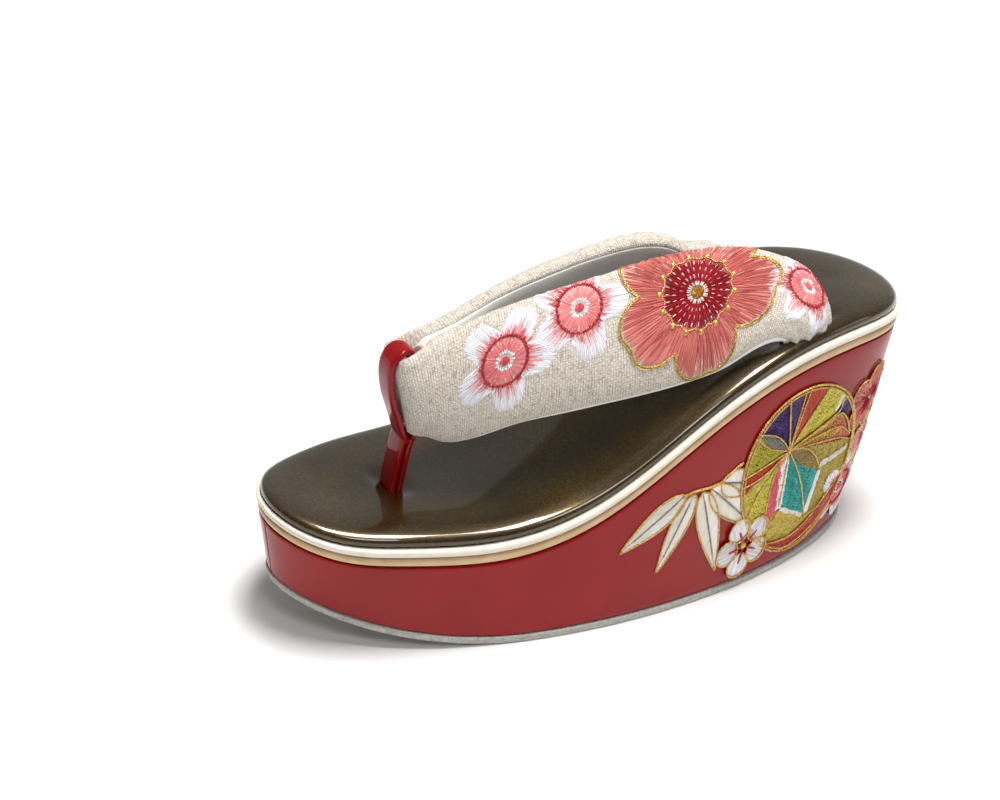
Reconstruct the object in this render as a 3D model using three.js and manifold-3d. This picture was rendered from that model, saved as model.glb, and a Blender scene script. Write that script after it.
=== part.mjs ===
// A high platform zori: a boat-shaped, wedge-soled sandal for formal kimono, for the left foot.
// Millimetres. +X points to the toe, +Y to the wearer's left (the outer side), +Z up.
// The origin is on the ground, under the middle of the sandal.
import * as THREE from 'three';
import { mergeVertices } from 'three/addons/utils/BufferGeometryUtils.js';
import Module from 'manifold-3d';

const wasm = await Module();
wasm.setup();

// ---------------------------------------------------------------- driving dimensions
const LENGTH = 240;          // toe tip to heel tip, along the rim
const GAP = 0.3;             // clearance between pieces that touch
const SOLE_THICKNESS = 2.6;  // suede outsole
const SOLE_PROUD = 0.4;      // how far its cut edge stands out
const WHITE_HEIGHT = 3.2;    // upper welt band
const TAN_HEIGHT = 3.1;      // lower welt band
const TOE_INSET = 4;         // the floor outline stands this far behind the rim at the toe
const HEEL_INSET = 13;       // and this far in front of it at the heel
const TOE_SPRING = 15;       // lift of the sole under the toe tip
const SPRING_PART = 0.35;    // part of the sole's length over which it lifts

// Half width of an outline: a sine for the oval, and overtones that fill or flatten it.
const RIM_PLAN = { oval: 46, toeward: 1.4, fullEnds: 2.6, shoulders: 0.9 };
const FLOOR_PLAN = { oval: 45.6, toeward: 1.5, fullEnds: -0.7, shoulders: 0 };

// Height of the rim over the ground, from toe tip (0) to heel tip (1).
const RIM_LINE = [
  { along: 0.00, height: 45.6 },
  { along: 0.07, height: 41.6 },
  { along: 0.15, height: 40.3 },
  { along: 0.30, height: 39.4 },
  { along: 0.45, height: 49.8 },
  { along: 0.60, height: 71.7 },
  { along: 0.75, height: 86.4 },
  { along: 0.90, height: 88.8 },
  { along: 1.00, height: 85.5 },
];

// Edge profiles. Depth is measured down from the rim, inset from the side wall's own line.
const WHITE_EDGE = [
  { depth: 0.0, inset: 2.6 },
  { depth: 0.0, inset: 1.0 },
  { depth: 0.5, inset: 0.2 },
  { depth: 1.5, inset: -0.2 },
  { depth: 2.6, inset: 0.0 },
  { depth: WHITE_HEIGHT, inset: 0.5 },
];
const TAN_TOP = WHITE_HEIGHT + GAP;
const TAN_EDGE = [
  { depth: TAN_TOP, inset: 0.6 },
  { depth: TAN_TOP + 0.4, inset: 0.1 },
  { depth: TAN_TOP + TAN_HEIGHT - 0.5, inset: 0.0 },
  { depth: TAN_TOP + TAN_HEIGHT, inset: 0.5 },
];
const WEDGE_TOP = TAN_TOP + TAN_HEIGHT + GAP;

// Footbed cushion, from its edge inwards: distance in from the rim and height over it.
const PAD_EDGE = [
  { inset: 2.2, rise: 0.3 },
  { inset: 1.6, rise: 1.3 },
  { inset: 1.8, rise: 2.6 },
  { inset: 3.2, rise: 4.0 },
  { inset: 6.0, rise: 4.9 },
  { inset: 10.0, rise: 5.1 },
  { inset: 15.0, rise: 4.8 },
  { inset: 20.0, rise: 4.6 },
];

// The strap's two branches, from the toe to their holes. Each row is a section: the middle of
// its lower rolled edge, the middle of its upper one, the thickness of the padding and the
// crown of the outer face. Y is the distance from the middle plane.
const STRAP_FRONT = [
  { lowX: 66, lowY: 5.2, lowZ: 68.8, topX: 71, topY: 4.6, topZ: 92, thick: 12.4, crown: 0.3 },
  { lowX: 54, lowY: 10, lowZ: 67.8, topX: 54, topY: 4.6, topZ: 97, thick: 12.4, crown: 1.2 },
  { lowX: 38, lowY: 15.5, lowZ: 73.5, topX: 36, topY: 6.5, topZ: 103.4, thick: 12, crown: 2.2 },
  { lowX: 15, lowY: 21.5, lowZ: 79, topX: 12, topY: 9, topZ: 108.7, thick: 12, crown: 2.5 },
  { lowX: -13, lowY: 27, lowZ: 84, topX: -14, topY: 10, topZ: 113, thick: 12, crown: 2.5 },
];
const OUTER_REAR = [
  { lowX: -33, lowY: 29.5, lowZ: 89, topX: -40, topY: 11, topZ: 114, thick: 12.5, crown: 2.5 },
  { lowX: -48, lowY: 30.5, lowZ: 95, topX: -60, topY: 15, topZ: 110.5, thick: 13, crown: 2 },
  { lowX: -57, lowY: 30.5, lowZ: 95, topX: -70, topY: 20.5, topZ: 104, thick: 13, crown: 1.5 },
  { lowX: -61, lowY: 29.5, lowZ: 91.5, topX: -73, topY: 26, topZ: 95, thick: 12, crown: 0.5 },
  { lowX: -63, lowY: 28, lowZ: 88, topX: -71, topY: 27.5, topZ: 88, thick: 8, crown: 0 },
];
const INNER_REAR = [
  { lowX: -31, lowY: 29.5, lowZ: 88, topX: -34, topY: 10.5, topZ: 109.5, thick: 12.5, crown: 2.5 },
  { lowX: -42, lowY: 30.5, lowZ: 92.5, topX: -45, topY: 15, topZ: 98.5, thick: 12, crown: 2 },
  { lowX: -49, lowY: 30.5, lowZ: 93.5, topX: -54, topY: 20.5, topZ: 96, thick: 12, crown: 1.5 },
  { lowX: -53, lowY: 29.5, lowZ: 90.5, topX: -62, topY: 26, topZ: 94, thick: 12, crown: 0.5 },
  { lowX: -54, lowY: 28, lowZ: 86, topX: -62, topY: 27.5, topZ: 87, thick: 8, crown: 0 },
];
const STRAP_ROLL = 5;         // from the middle of a rolled edge to its outermost fold
const OUTER_HOLE = { x: -67, y: 28, long: 19, wide: 10, turn: -0.12 };
const INNER_HOLE = { x: -58, y: -28, long: 19, wide: 10, turn: 0.12 };
const NECK_DEPTH = 6.2;       // the strap's ends stop this far under the rim, in their holes

// The front thong: a flat band looped round the fold of the strap, over a doubled stem.
const LOOP_THICKNESS = 2.6;
const LOOP_PATH = [
  { x: 69.8, z: 61.6, wide: 9.5 },
  { x: 72.8, z: 70, wide: 9.5 },
  { x: 75.4, z: 78, wide: 9.5 },
  { x: 76.7, z: 86, wide: 9.5 },
  { x: 76.0, z: 92, wide: 9.5 },
  { x: 72.6, z: 95.8, wide: 9.0 },
  { x: 68.4, z: 93.8, wide: 6.0 },
  { x: 66.4, z: 84, wide: 4.5 },
  { x: 66.0, z: 72, wide: 5.0 },
  { x: 66.8, z: 64, wide: 7.5 },
];
const STEM_THICKNESS = 5.4;
const STEM_PATH = [
  { x: 69.6, z: 62.5, wide: 9.5 },
  { x: 71.0, z: 56, wide: 9.5 },
  { x: 72.6, z: 47, wide: 9.5 },
  { x: 73.2, z: 41, wide: 9.5 },
  { x: 73.2, z: 33.6, wide: 9.5 },
];
const THONG_HOLE = { x: 73.1, y: 0, long: 6.8, wide: 10.8, turn: 0 };

// How finely the curved forms are cut.
const OUTLINE_STEPS = 80;
const WALL_STEPS = 4;
const STRAP_STEPS = 36;
const STRAP_SIDES = 24;
const CAP_STEPS = 4;
const LOOP_STEPS = 36;
const STEM_STEPS = 8;
const BAND_SIDES = 12;

// ---------------------------------------------------------------- curves
// A natural cubic spline through one column of a table, as a function of another.
function smooth(rows, key, value) {
  const x = rows.map((row) => row[key]);
  const y = rows.map((row) => row[value]);
  const last = x.length - 1;
  const bend = new Array(last + 1).fill(0);
  const carry = new Array(last + 1).fill(0);
  for (let i = 1; i < last; i += 1) {
    const before = x[i] - x[i - 1];
    const after = x[i + 1] - x[i];
    const jump = 6 * ((y[i + 1] - y[i]) / after - (y[i] - y[i - 1]) / before);
    const pivot = 2 * (before + after) - before * carry[i - 1];
    carry[i] = after / pivot;
    bend[i] = (jump - before * bend[i - 1]) / pivot;
  }
  for (let i = last - 1; i > 0; i -= 1) bend[i] -= carry[i] * bend[i + 1];
  return (at) => {
    let i = 0;
    while (i < last - 1 && at > x[i + 1]) i += 1;
    const step = x[i + 1] - x[i];
    const b = (at - x[i]) / step;
    const a = 1 - b;
    const curl = ((a ** 3 - a) * bend[i] + (b ** 3 - b) * bend[i + 1]) * step * step / 6;
    return a * y[i] + b * y[i + 1] + curl;
  };
}

const rimHeight = smooth(RIM_LINE, 'along', 'height');
const alongAt = (angle) => (1 - Math.cos(angle)) / 2;

function halfWidth(plan, angle) {
  return plan.oval * Math.sin(angle) + plan.toeward * Math.sin(2 * angle)
    + plan.fullEnds * Math.sin(3 * angle) + plan.shoulders * Math.sin(5 * angle);
}

// Lift of the sole: none from the ball of the foot back, rising in a curve under the toe.
function toeSpring(angle) {
  const part = Math.max(0, 1 - alongAt(angle) / SPRING_PART);
  return TOE_SPRING * part * part;
}

function rimPoint(angle) {
  const x = LENGTH / 2 * Math.cos(angle);
  return new THREE.Vector3(x, halfWidth(RIM_PLAN, angle), rimHeight(alongAt(angle)));
}

function floorPoint(angle, lift) {
  const middle = (HEEL_INSET - TOE_INSET) / 2;
  const half = (LENGTH - HEEL_INSET - TOE_INSET) / 2;
  const y = halfWidth(FLOOR_PLAN, angle);
  return new THREE.Vector3(middle + half * Math.cos(angle), y, toeSpring(angle) + lift);
}

// The side wall runs straight from the rim to the floor outline; depth is below the rim.
function wallPoint(angle, depth) {
  const top = rimPoint(angle);
  const bottom = floorPoint(angle, SOLE_THICKNESS);
  return top.lerp(bottom, depth / (top.z - bottom.z));
}

function rimOver(x) {
  return rimHeight(0.5 - x / LENGTH);
}

// A ring of points round the shoe, moved in by inset at right angles to its own plan, and
// up or down with the surface that the ring follows.
function ring(pointAt, inset, surface = rimOver) {
  const points = [];
  for (let i = 0; i < OUTLINE_STEPS; i += 1) {
    const angle = 2 * Math.PI * i / OUTLINE_STEPS;
    const point = pointAt(angle);
    const run = pointAt(angle + 0.01).sub(pointAt(angle - 0.01));
    const size = Math.hypot(run.x, run.y);
    const x = point.x - inset * run.y / size;
    const y = point.y + inset * run.x / size;
    const z = point.z + surface(x) - surface(point.x);
    points.push(new THREE.Vector3(x, y, z));
  }
  return points;
}

// ---------------------------------------------------------------- solids
// Joins rings of equal length into one closed solid. An end is closed by lines between the
// points that face each other, i and n - i; looped rings close on themselves instead.
function skin(rings, looped = false) {
  const count = rings[0].length;
  const place = rings.flat().flatMap((point) => [point.x, point.y, point.z]);
  const faces = [];
  const quad = (a, b, c, d) => faces.push([a, b, c], [a, c, d]);
  const last = looped ? rings.length : rings.length - 1;
  for (let r = 0; r < last; r += 1) {
    const here = r * count;
    const next = ((r + 1) % rings.length) * count;
    for (let i = 0; i < count; i += 1) {
      const j = (i + 1) % count;
      quad(here + i, here + j, next + j, next + i);
    }
  }
  if (!looped) {
    const end = (rings.length - 1) * count;
    for (let i = 0; i < count / 2; i += 1) {
      const far = (count - i) % count;
      const j = i + 1;
      quad(far, count - j, j, i);
      quad(end + i, end + j, end + count - j, end + far);
    }
  }
  return solidFrom(place, faces);
}

// Welds equal points, drops the triangles that fall flat, and turns the faces outwards.
function solidFrom(place, faces) {
  const loose = new THREE.BufferGeometry();
  loose.setAttribute('position', new THREE.Float32BufferAttribute(place, 3));
  loose.setIndex(faces.flat());
  const welded = mergeVertices(loose, 1e-3);
  const spots = welded.getAttribute('position').array;
  const index = welded.getIndex().array;
  const kept = [];
  let volume = 0;
  const corner = (i) => new THREE.Vector3().fromArray(spots, 3 * i);
  for (let i = 0; i < index.length; i += 3) {
    const [a, b, c] = [index[i], index[i + 1], index[i + 2]];
    if (a !== b && b !== c && c !== a) {
      kept.push([a, b, c]);
      volume += corner(a).dot(corner(b).cross(corner(c)));
    }
  }
  const turned = volume > 0 ? kept : kept.map(([a, b, c]) => [a, c, b]);
  return new wasm.Manifold(new wasm.Mesh({
    numProp: 3,
    vertProperties: new Float32Array(spots),
    triVerts: new Uint32Array(turned.flat()),
  }));
}

// A layer of the sandal between two edge profiles' ends, level from side to side.
function layer(edge) {
  return skin(edge.map(({ depth, inset }) => ring((angle) => wallPoint(angle, depth), inset)));
}

// An upright plug with round corners, spare narrower than its hole, to cut or fill it.
function plug(hole, spare, lowZ, highZ) {
  const sides = 24;
  const rings = [lowZ, highZ].map((z) => {
    const points = [];
    for (let i = 0; i < sides; i += 1) {
      const angle = 2 * Math.PI * i / sides;
      const u = (hole.long / 2 - spare) * roundish(Math.cos(angle));
      const v = (hole.wide / 2 - spare) * roundish(Math.sin(angle));
      const x = hole.x + u * Math.cos(hole.turn) - v * Math.sin(hole.turn);
      const y = hole.y + u * Math.sin(hole.turn) + v * Math.cos(hole.turn);
      points.push(new THREE.Vector3(x, y, z));
    }
    return points;
  });
  return skin(rings);
}

// Pushes a circle's sine or cosine out towards a rounded rectangle.
function roundish(value, power = 0.7) {
  return Math.sign(value) * Math.abs(value) ** power;
}

// ---------------------------------------------------------------- sole and platform
function makeOutsole() {
  const heights = [0, 0.4, SOLE_THICKNESS - 0.4, SOLE_THICKNESS];
  const insets = [0, -SOLE_PROUD, -SOLE_PROUD, 0];
  const level = () => 0;
  return skin(heights.map((lift, i) => ring((a) => floorPoint(a, lift), insets[i], level)));
}

function makeWedge() {
  const depthAt = (angle, part) => {
    const whole = rimPoint(angle).z - floorPoint(angle, SOLE_THICKNESS + GAP).z;
    return WEDGE_TOP + part * (whole - WEDGE_TOP);
  };
  const rings = [ring((angle) => wallPoint(angle, WEDGE_TOP), 0.7)];
  for (let i = 0; i <= WALL_STEPS; i += 1) {
    const part = 0.02 + 0.98 * i / WALL_STEPS;
    rings.push(ring((angle) => wallPoint(angle, depthAt(angle, part)), 0));
  }
  return skin(rings);
}

// The cushion, or with extra depth the whole block under its upper face.
function makeFootbed(depth = 0) {
  const level = (angle, rise) => rimPoint(angle).add(new THREE.Vector3(0, 0, rise));
  const rings = PAD_EDGE.map(({ inset, rise }) => ring((angle) => level(angle, rise), inset));
  if (depth > 0) rings.unshift(ring((angle) => level(angle, -depth), PAD_EDGE[0].inset));
  return skin(rings);
}

// ---------------------------------------------------------------- strap
// One section ring of a branch. Shrink (1 to 0) and push (mm) round off the free end.
function strapRing(columns, side, at, shrink, push) {
  const read = (name, where = at) => columns[name](where);
  const lowAt = (w) => new THREE.Vector3(read('lowX', w), side * read('lowY', w), read('lowZ', w));
  const topAt = (w) => new THREE.Vector3(read('topX', w), side * read('topY', w), read('topZ', w));
  const low = lowAt(at);
  const top = topAt(at);
  const middle = low.clone().add(top).multiplyScalar(0.5);
  const ahead = lowAt(at + 0.05).add(topAt(at + 0.05)).multiplyScalar(0.5).sub(middle);
  const across = top.clone().sub(low);
  const half = across.length() / 2 + STRAP_ROLL;
  across.normalize();
  const out = ahead.clone().cross(across).multiplyScalar(side).normalize();
  const back = out.clone().cross(across).multiplyScalar(side).normalize();
  const points = [];
  for (let i = 0; i < STRAP_SIDES; i += 1) {
    const angle = 2 * Math.PI * i / STRAP_SIDES;
    const u = roundish(Math.cos(angle), 0.85);
    const v = roundish(Math.sin(angle), 0.85);
    const crown = read('crown') * (1 - u * u) * shrink;
    const point = middle.clone();
    point.addScaledVector(across, u * (half - STRAP_ROLL * (1 - shrink)));
    point.addScaledVector(out, v * shrink * read('thick') / 2 + crown);
    point.addScaledVector(back, push);
    points.push(point);
  }
  return points;
}

function makeBranch(side, rear) {
  const rows = [...STRAP_FRONT, ...rear].map((row, at) => ({ ...row, at }));
  const columns = {};
  for (const name of Object.keys(STRAP_FRONT[0])) columns[name] = smooth(rows, 'at', name);
  const rings = [];
  for (let i = CAP_STEPS; i > 0; i -= 1) {
    const angle = Math.PI / 2 * i / CAP_STEPS;
    const push = STRAP_ROLL * Math.sin(angle);
    rings.push(strapRing(columns, side, 0, Math.cos(angle), push));
  }
  for (let i = 0; i <= STRAP_STEPS; i += 1) {
    rings.push(strapRing(columns, side, (rows.length - 1) * i / STRAP_STEPS, 1, 0));
  }
  return skin(rings);
}

// ---------------------------------------------------------------- front thong
// A flat band along a path in the middle plane, spare thicker all round than it need be.
function band(path, thickness, looped, steps, spare) {
  const curve = new THREE.CatmullRomCurve3(
    path.map(({ x, z, wide }) => new THREE.Vector3(x, wide, z)), looped, 'centripetal');
  const rings = [];
  const count = looped ? steps : steps + 1;
  for (let i = 0; i < count; i += 1) {
    const centre = curve.getPoint(i / steps);
    const halfWide = centre.y / 2 + spare;
    const run = curve.getTangent(i / steps).setY(0).normalize();
    const points = [];
    for (let k = 0; k < BAND_SIDES; k += 1) {
      const angle = 2 * Math.PI * k / BAND_SIDES;
      const off = roundish(Math.cos(angle), 0.5) * (thickness / 2 + spare);
      const y = roundish(Math.sin(angle), 0.35) * halfWide;
      points.push(new THREE.Vector3(centre.x + off * run.z, y, centre.z - off * run.x));
    }
    rings.push(points);
  }
  return skin(rings, looped);
}

function makeThong(spare) {
  const loop = band(LOOP_PATH, LOOP_THICKNESS, true, LOOP_STEPS, spare);
  return loop.add(band(STEM_PATH, STEM_THICKNESS, false, STEM_STEPS, spare));
}

// ---------------------------------------------------------------- assembly
const ALL_THROUGH = [20, 120];

// A strap end in its hole, from under the rim up into the padding.
function neck(hole) {
  const floor = rimOver(hole.x - hole.long / 2) - NECK_DEPTH;
  return plug(hole, GAP, floor, rimOver(hole.x) + 8);
}

// The strap's ends fill their holes but for the gap, and its underside follows the cushion.
function makeStrap() {
  const clear = plug(OUTER_HOLE, GAP, ...ALL_THROUGH).add(plug(INNER_HOLE, GAP, ...ALL_THROUGH));
  const below = makeFootbed(15).translate([0, 0, GAP]).subtract(clear);
  const branches = makeBranch(1, OUTER_REAR).add(makeBranch(-1, INNER_REAR));
  return branches.subtract(below).add(neck(OUTER_HOLE)).add(neck(INNER_HOLE))
    .subtract(makeThong(GAP));
}

const holes = plug(THONG_HOLE, 0, ...ALL_THROUGH)
  .add(plug(OUTER_HOLE, 0, ...ALL_THROUGH))
  .add(plug(INNER_HOLE, 0, ...ALL_THROUGH));
const solids = {
  outsole: makeOutsole(),
  wedge: makeWedge(),
  band_tan: layer(TAN_EDGE).subtract(holes),
  band_white: layer(WHITE_EDGE).subtract(holes),
  footbed: makeFootbed().subtract(holes),
  strap: makeStrap(),
  front_thong: makeThong(0),
};

const finishes = {
  outsole: { color: 0xb5b3ab, roughness: 0.95 },
  wedge: { color: 0x9a1c20, roughness: 0.15 },
  band_tan: { color: 0xdcaf84, roughness: 0.3 },
  band_white: { color: 0xe8e0d4, roughness: 0.25 },
  footbed: { color: 0x4a4028, roughness: 0.2, metalness: 0.4 },
  strap: { color: 0xddd4c4, roughness: 0.9 },
  front_thong: { color: 0x9a1c20, roughness: 0.2 },
};

const sandal = new THREE.Group();
for (const [name, solid] of Object.entries(solids)) {
  const mesh = solid.getMesh();
  const geometry = new THREE.BufferGeometry();
  geometry.setAttribute('position', new THREE.Float32BufferAttribute(mesh.vertProperties, 3));
  geometry.setIndex(Array.from(mesh.triVerts));
  const piece = new THREE.Mesh(geometry, new THREE.MeshStandardMaterial(finishes[name]));
  piece.name = name;
  sandal.add(piece);
}

export default sandal;
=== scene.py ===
# %% [markdown]
# # A platform zori, finished in Blender
# A zori is the flat-footed sandal that goes with a kimono. This one is the high, formal kind: a
# boat-shaped wedge covered in red enamelled leather, two edge bands, a pearly cushion to stand on
# and a padded linen strap with embroidered blossoms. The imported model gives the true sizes, and
# each cell below makes a piece or a finish of it as its maker would see it. Lengths are in
# millimetres until a mesh is made, and Blender then gets metres.

import math

import bmesh
import bpy
import numpy as np
from mathutils import Matrix, Vector, noise


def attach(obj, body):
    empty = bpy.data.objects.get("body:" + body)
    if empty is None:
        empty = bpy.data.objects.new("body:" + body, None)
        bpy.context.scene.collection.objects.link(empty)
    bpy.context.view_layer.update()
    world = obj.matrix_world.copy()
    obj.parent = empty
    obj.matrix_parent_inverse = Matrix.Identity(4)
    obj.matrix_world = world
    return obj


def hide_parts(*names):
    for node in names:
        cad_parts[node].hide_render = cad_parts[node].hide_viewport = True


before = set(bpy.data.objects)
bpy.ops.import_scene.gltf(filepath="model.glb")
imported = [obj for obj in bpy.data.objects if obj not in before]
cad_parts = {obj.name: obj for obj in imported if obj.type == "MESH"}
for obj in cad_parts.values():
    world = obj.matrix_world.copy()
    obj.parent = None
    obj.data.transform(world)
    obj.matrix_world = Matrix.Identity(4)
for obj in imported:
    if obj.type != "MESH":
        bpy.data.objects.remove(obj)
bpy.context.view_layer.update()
MM = 0.001
print("the packed nodes:", sorted(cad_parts))

# %% [markdown]
# ## The camera
# The sandal is seen from its outer side, a little above, with the toe turned to the left. A long
# lens from one metre away keeps the heel from looking small. The camera is also rolled by four
# degrees, so its axes are worked out from two angles and then turned about its view by the third.

# %% Camera
AZIMUTH, ELEVATION, ROLL = (math.radians(angle) for angle in (152.36, 30.52, 3.95))
DISTANCE = 1.007
AIM = Vector((0.0235, -0.0222, 0.0462))
LENS_MM, SHIFT = 103.4, (0.005, 0.02)

back = Vector((math.sin(AZIMUTH) * math.cos(ELEVATION),
               -math.cos(AZIMUTH) * math.cos(ELEVATION), math.sin(ELEVATION)))
level = Vector((math.cos(AZIMUTH), math.sin(AZIMUTH), 0))
upright = back.cross(level)
right = level * math.cos(ROLL) + upright * math.sin(ROLL)
up = upright * math.cos(ROLL) - level * math.sin(ROLL)
bpy.ops.object.camera_add()
camera = bpy.context.object
camera.matrix_world = Matrix.Translation(AIM + back * DISTANCE) @ Matrix(
    (right, up, back)).transposed().to_4x4()
camera.data.lens = LENS_MM
camera.data.shift_x, camera.data.shift_y = SHIFT
camera.data.clip_start, camera.data.clip_end = 0.05, 20
bpy.context.scene.camera = camera
print("camera at", [round(v, 3) for v in camera.location])

# %% [markdown]
# ## Small helpers for materials
# Colours are read from hex values, as a swatch book gives them, and turned to the linear light
# that the shader works in. One function adds a node with its settings and links.

# %% Material helpers
def linear(swatch):
    """The linear colour of a hex swatch such as "#b5b3ab"."""
    parts = [int(swatch[i:i + 2], 16) / 255 for i in (1, 3, 5)]
    return tuple(v / 12.92 if v <= 0.04045 else ((v + 0.055) / 1.055) ** 2.4 for v in parts) + (1,)


def add(tree, kind, settings=None, **inputs):
    """Adds a node. An input is named with _ for a space, or is a number with an i before it."""
    made = tree.nodes.new(kind)
    for key, value in (settings or {}).items():
        setattr(made, key, value)
    for key, value in inputs.items():
        socket = made.inputs[int(key[1:])] if key[1:].isdigit() else made.inputs[key.replace("_", " ")]
        if isinstance(value, bpy.types.NodeSocket):
            tree.links.new(value, socket)
        else:
            socket.default_value = value
    return made


def finish(name, **constants):
    """A new material with a Principled shader whose sockets hold these constants."""
    material = bpy.data.materials.new(name)
    material.use_nodes = True
    tree = material.node_tree
    shader = tree.nodes["Principled BSDF"]
    for key, value in constants.items():
        shader.inputs[key.replace("_", " ")].default_value = value
    return material, tree, shader


def ramp(tree, factor, *stops):
    """A colour ramp on a factor, with stops of (place, swatch)."""
    made = add(tree, "ShaderNodeValToRGB", Fac=factor)
    while len(made.color_ramp.elements) < len(stops):
        made.color_ramp.elements.new(0.5)
    for element, (place, swatch) in zip(made.color_ramp.elements, stops):
        element.position, element.color = place, linear(swatch)
    return made.outputs["Color"]


def grain(tree, vector, size_mm, detail=2.0, rough=0.5):
    """Noise whose lumps are about size_mm across, on coordinates in metres."""
    made = add(tree, "ShaderNodeTexNoise", Vector=vector, Scale=1 / (size_mm * MM), Detail=detail,
               Roughness=rough)
    return made.outputs["Fac"]


print("helpers ready, for example", [round(v, 3) for v in linear("#b5b3ab")])

# %% [markdown]
# ## Leathers
# Enamelled leather is a soft skin under a thick clear lacquer. The lacquer is a coat with a very
# low roughness, and what it covers stays a little rough. Over a foam or cork core the skin is
# never quite flat, so a wide, shallow bump makes the reflections swim a little.

# %% Enamelled leather
def enamel(name, swatch, deep, wave_mm=14, wave=0.12):
    """Glossy lacquered leather: swatch in the light, deep where the dye is thicker."""
    material, tree, shader = finish(name, Roughness=0.5, Specular_IOR_Level=0.05, Coat_Weight=0.62,
                                    Coat_Roughness=0.03, Coat_IOR=1.45)
    where = add(tree, "ShaderNodeTexCoord").outputs["Object"]
    cloud = grain(tree, where, wave_mm, 2)
    tree.links.new(ramp(tree, cloud, (0.3, deep), (0.65, swatch)), shader.inputs["Base Color"])
    pores = grain(tree, where, 0.8, 3)
    under = add(tree, "ShaderNodeBump", Height=pores, Strength=0.12, Distance=0.08 * MM)
    over = add(tree, "ShaderNodeBump", Height=cloud, Strength=0.35, Distance=wave * MM)
    tree.links.new(over.outputs["Normal"], under.inputs["Normal"])
    tree.links.new(under.outputs["Normal"], shader.inputs["Normal"])
    tree.links.new(over.outputs["Normal"], shader.inputs["Coat Normal"])
    return material


red_enamel = enamel("red_enamelled_leather", "#96090f", "#8d070c", 22, 0.1)
tan_enamel = enamel("tan_enamelled_leather", "#d9bc94", "#ceae84", 8, 0.05)
ivory_enamel = enamel("ivory_enamelled_leather", "#ece4d8", "#e3d9ca", 8, 0.05)
print("enamels:", red_enamel.name, tan_enamel.name, ivory_enamel.name)

# %% [markdown]
# ## Pearl patent
# The cushion wears patent leather with pearl flake in its lacquer. Small cells of random tone over
# a slow cloud draw the flake, which mirrors partly as metal does, and a clear coat lies on top.
# Real flake is 0.05 mm across; 0.35 mm is the finest that shows at this size.

# %% Pearl patent
FLAKE_MM = 0.35


def pearl_patent():
    """Bronze-olive patent leather with fine pearl flake under the lacquer."""
    material, tree, shader = finish("bronze_pearl_patent", Roughness=0.3, Metallic=0.6,
                                    Coat_Weight=1.0, Coat_Roughness=0.02, Coat_IOR=1.5)
    where = add(tree, "ShaderNodeTexCoord").outputs["Object"]
    flake = add(tree, "ShaderNodeTexVoronoi", Vector=where, Scale=1 / (FLAKE_MM * MM))
    flake_tone = add(tree, "ShaderNodeSeparateColor", Color=flake.outputs["Color"]).outputs["Red"]
    cloud = grain(tree, where, 30, 3)
    slow = add(tree, "ShaderNodeMath", {"operation": "MULTIPLY"}, i0=cloud, i1=0.6)
    mixed = add(tree, "ShaderNodeMath", {"operation": "MULTIPLY_ADD"}, i0=flake_tone, i1=0.35,
                i2=slow.outputs[0])
    tree.links.new(ramp(tree, mixed.outputs[0], (0.1, "#1d1405"), (0.5, "#3f2f10"),
                        (0.9, "#6f5926")), shader.inputs["Base Color"])
    wave = grain(tree, where, 18, 2)
    bump = add(tree, "ShaderNodeBump", Height=wave, Strength=0.3, Distance=0.08 * MM)
    tree.links.new(bump.outputs["Normal"], shader.inputs["Normal"])
    tree.links.new(bump.outputs["Normal"], shader.inputs["Coat Normal"])
    return material


bronze_patent = pearl_patent()
print("patent:", bronze_patent.name)

# %% [markdown]
# ## Suede
# The outsole is a suede split, the fibrous under layer of a hide. It has no gloss: a fine noise
# gives light and dark tufts and lifts them, and a sheen stands for the loose fibres on top.

# %% Suede
def suede():
    """Grey suede split: no gloss, a short nap and loose fibres."""
    material, tree, shader = finish("grey_suede_split", Roughness=0.95, Sheen_Weight=0.35,
                                    Sheen_Roughness=0.6)
    where = add(tree, "ShaderNodeTexCoord").outputs["Object"]
    nap = grain(tree, where, 1.1, 5, 0.7)
    tree.links.new(ramp(tree, nap, (0.3, "#8d8b84"), (0.5, "#b3b1a9"), (0.72, "#d2d0c8")),
                   shader.inputs["Base Color"])
    bump = add(tree, "ShaderNodeBump", Height=nap, Strength=0.9, Distance=0.5 * MM)
    tree.links.new(bump.outputs["Normal"], shader.inputs["Normal"])
    return material


grey_suede = suede()
print("suede:", grey_suede.name)

# %% [markdown]
# ## A smooth curve through points
# Many lines here are set by a few points, with a curve between them that bends as little as it
# can, as a thin wooden lath does when it is held at those points. Its name is the natural cubic
# spline, and it takes heights as well as whole rows of a table.

# %% Smooth curves
def spline(places, values):
    """A natural cubic curve through values at places, as a function. Values may be rows."""
    x, y = np.array(places, float), np.array(values, float)
    gap = np.diff(x)
    system, jump = np.eye(len(x)), np.zeros(y.shape)
    for i in range(1, len(x) - 1):
        system[i, i - 1:i + 2] = gap[i - 1], 2 * (gap[i - 1] + gap[i]), gap[i]
        jump[i] = 6 * ((y[i + 1] - y[i]) / gap[i] - (y[i] - y[i - 1]) / gap[i - 1])
    bend = np.linalg.solve(system, jump)

    def at(where):
        where = np.asarray(where, float)
        i = np.clip(np.searchsorted(x, where) - 1, 0, len(x) - 2)
        b = (where - x[i]) / gap[i]
        span = gap[i]
        if y.ndim > 1:
            b, span = b[..., None], span[..., None]
        a = 1 - b
        curl = ((a ** 3 - a) * bend[i] + (b ** 3 - b) * bend[i + 1]) * span ** 2 / 6
        return a * y[i] + b * y[i + 1] + curl

    return at


print("a curve through 0, 1 and 4 passes", round(float(spline((0, 1, 2), (0, 1, 4))(1.5)), 3))

# %% [markdown]
# ## The sandal's own lines
# Every piece of the sole follows two outlines, the rim above and the ground line below, and one
# side view of the rim. The same few numbers draw them all: a sum of sines for the half width,
# which stays round at both ends, and a smooth curve through nine heights for the rim.

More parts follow.
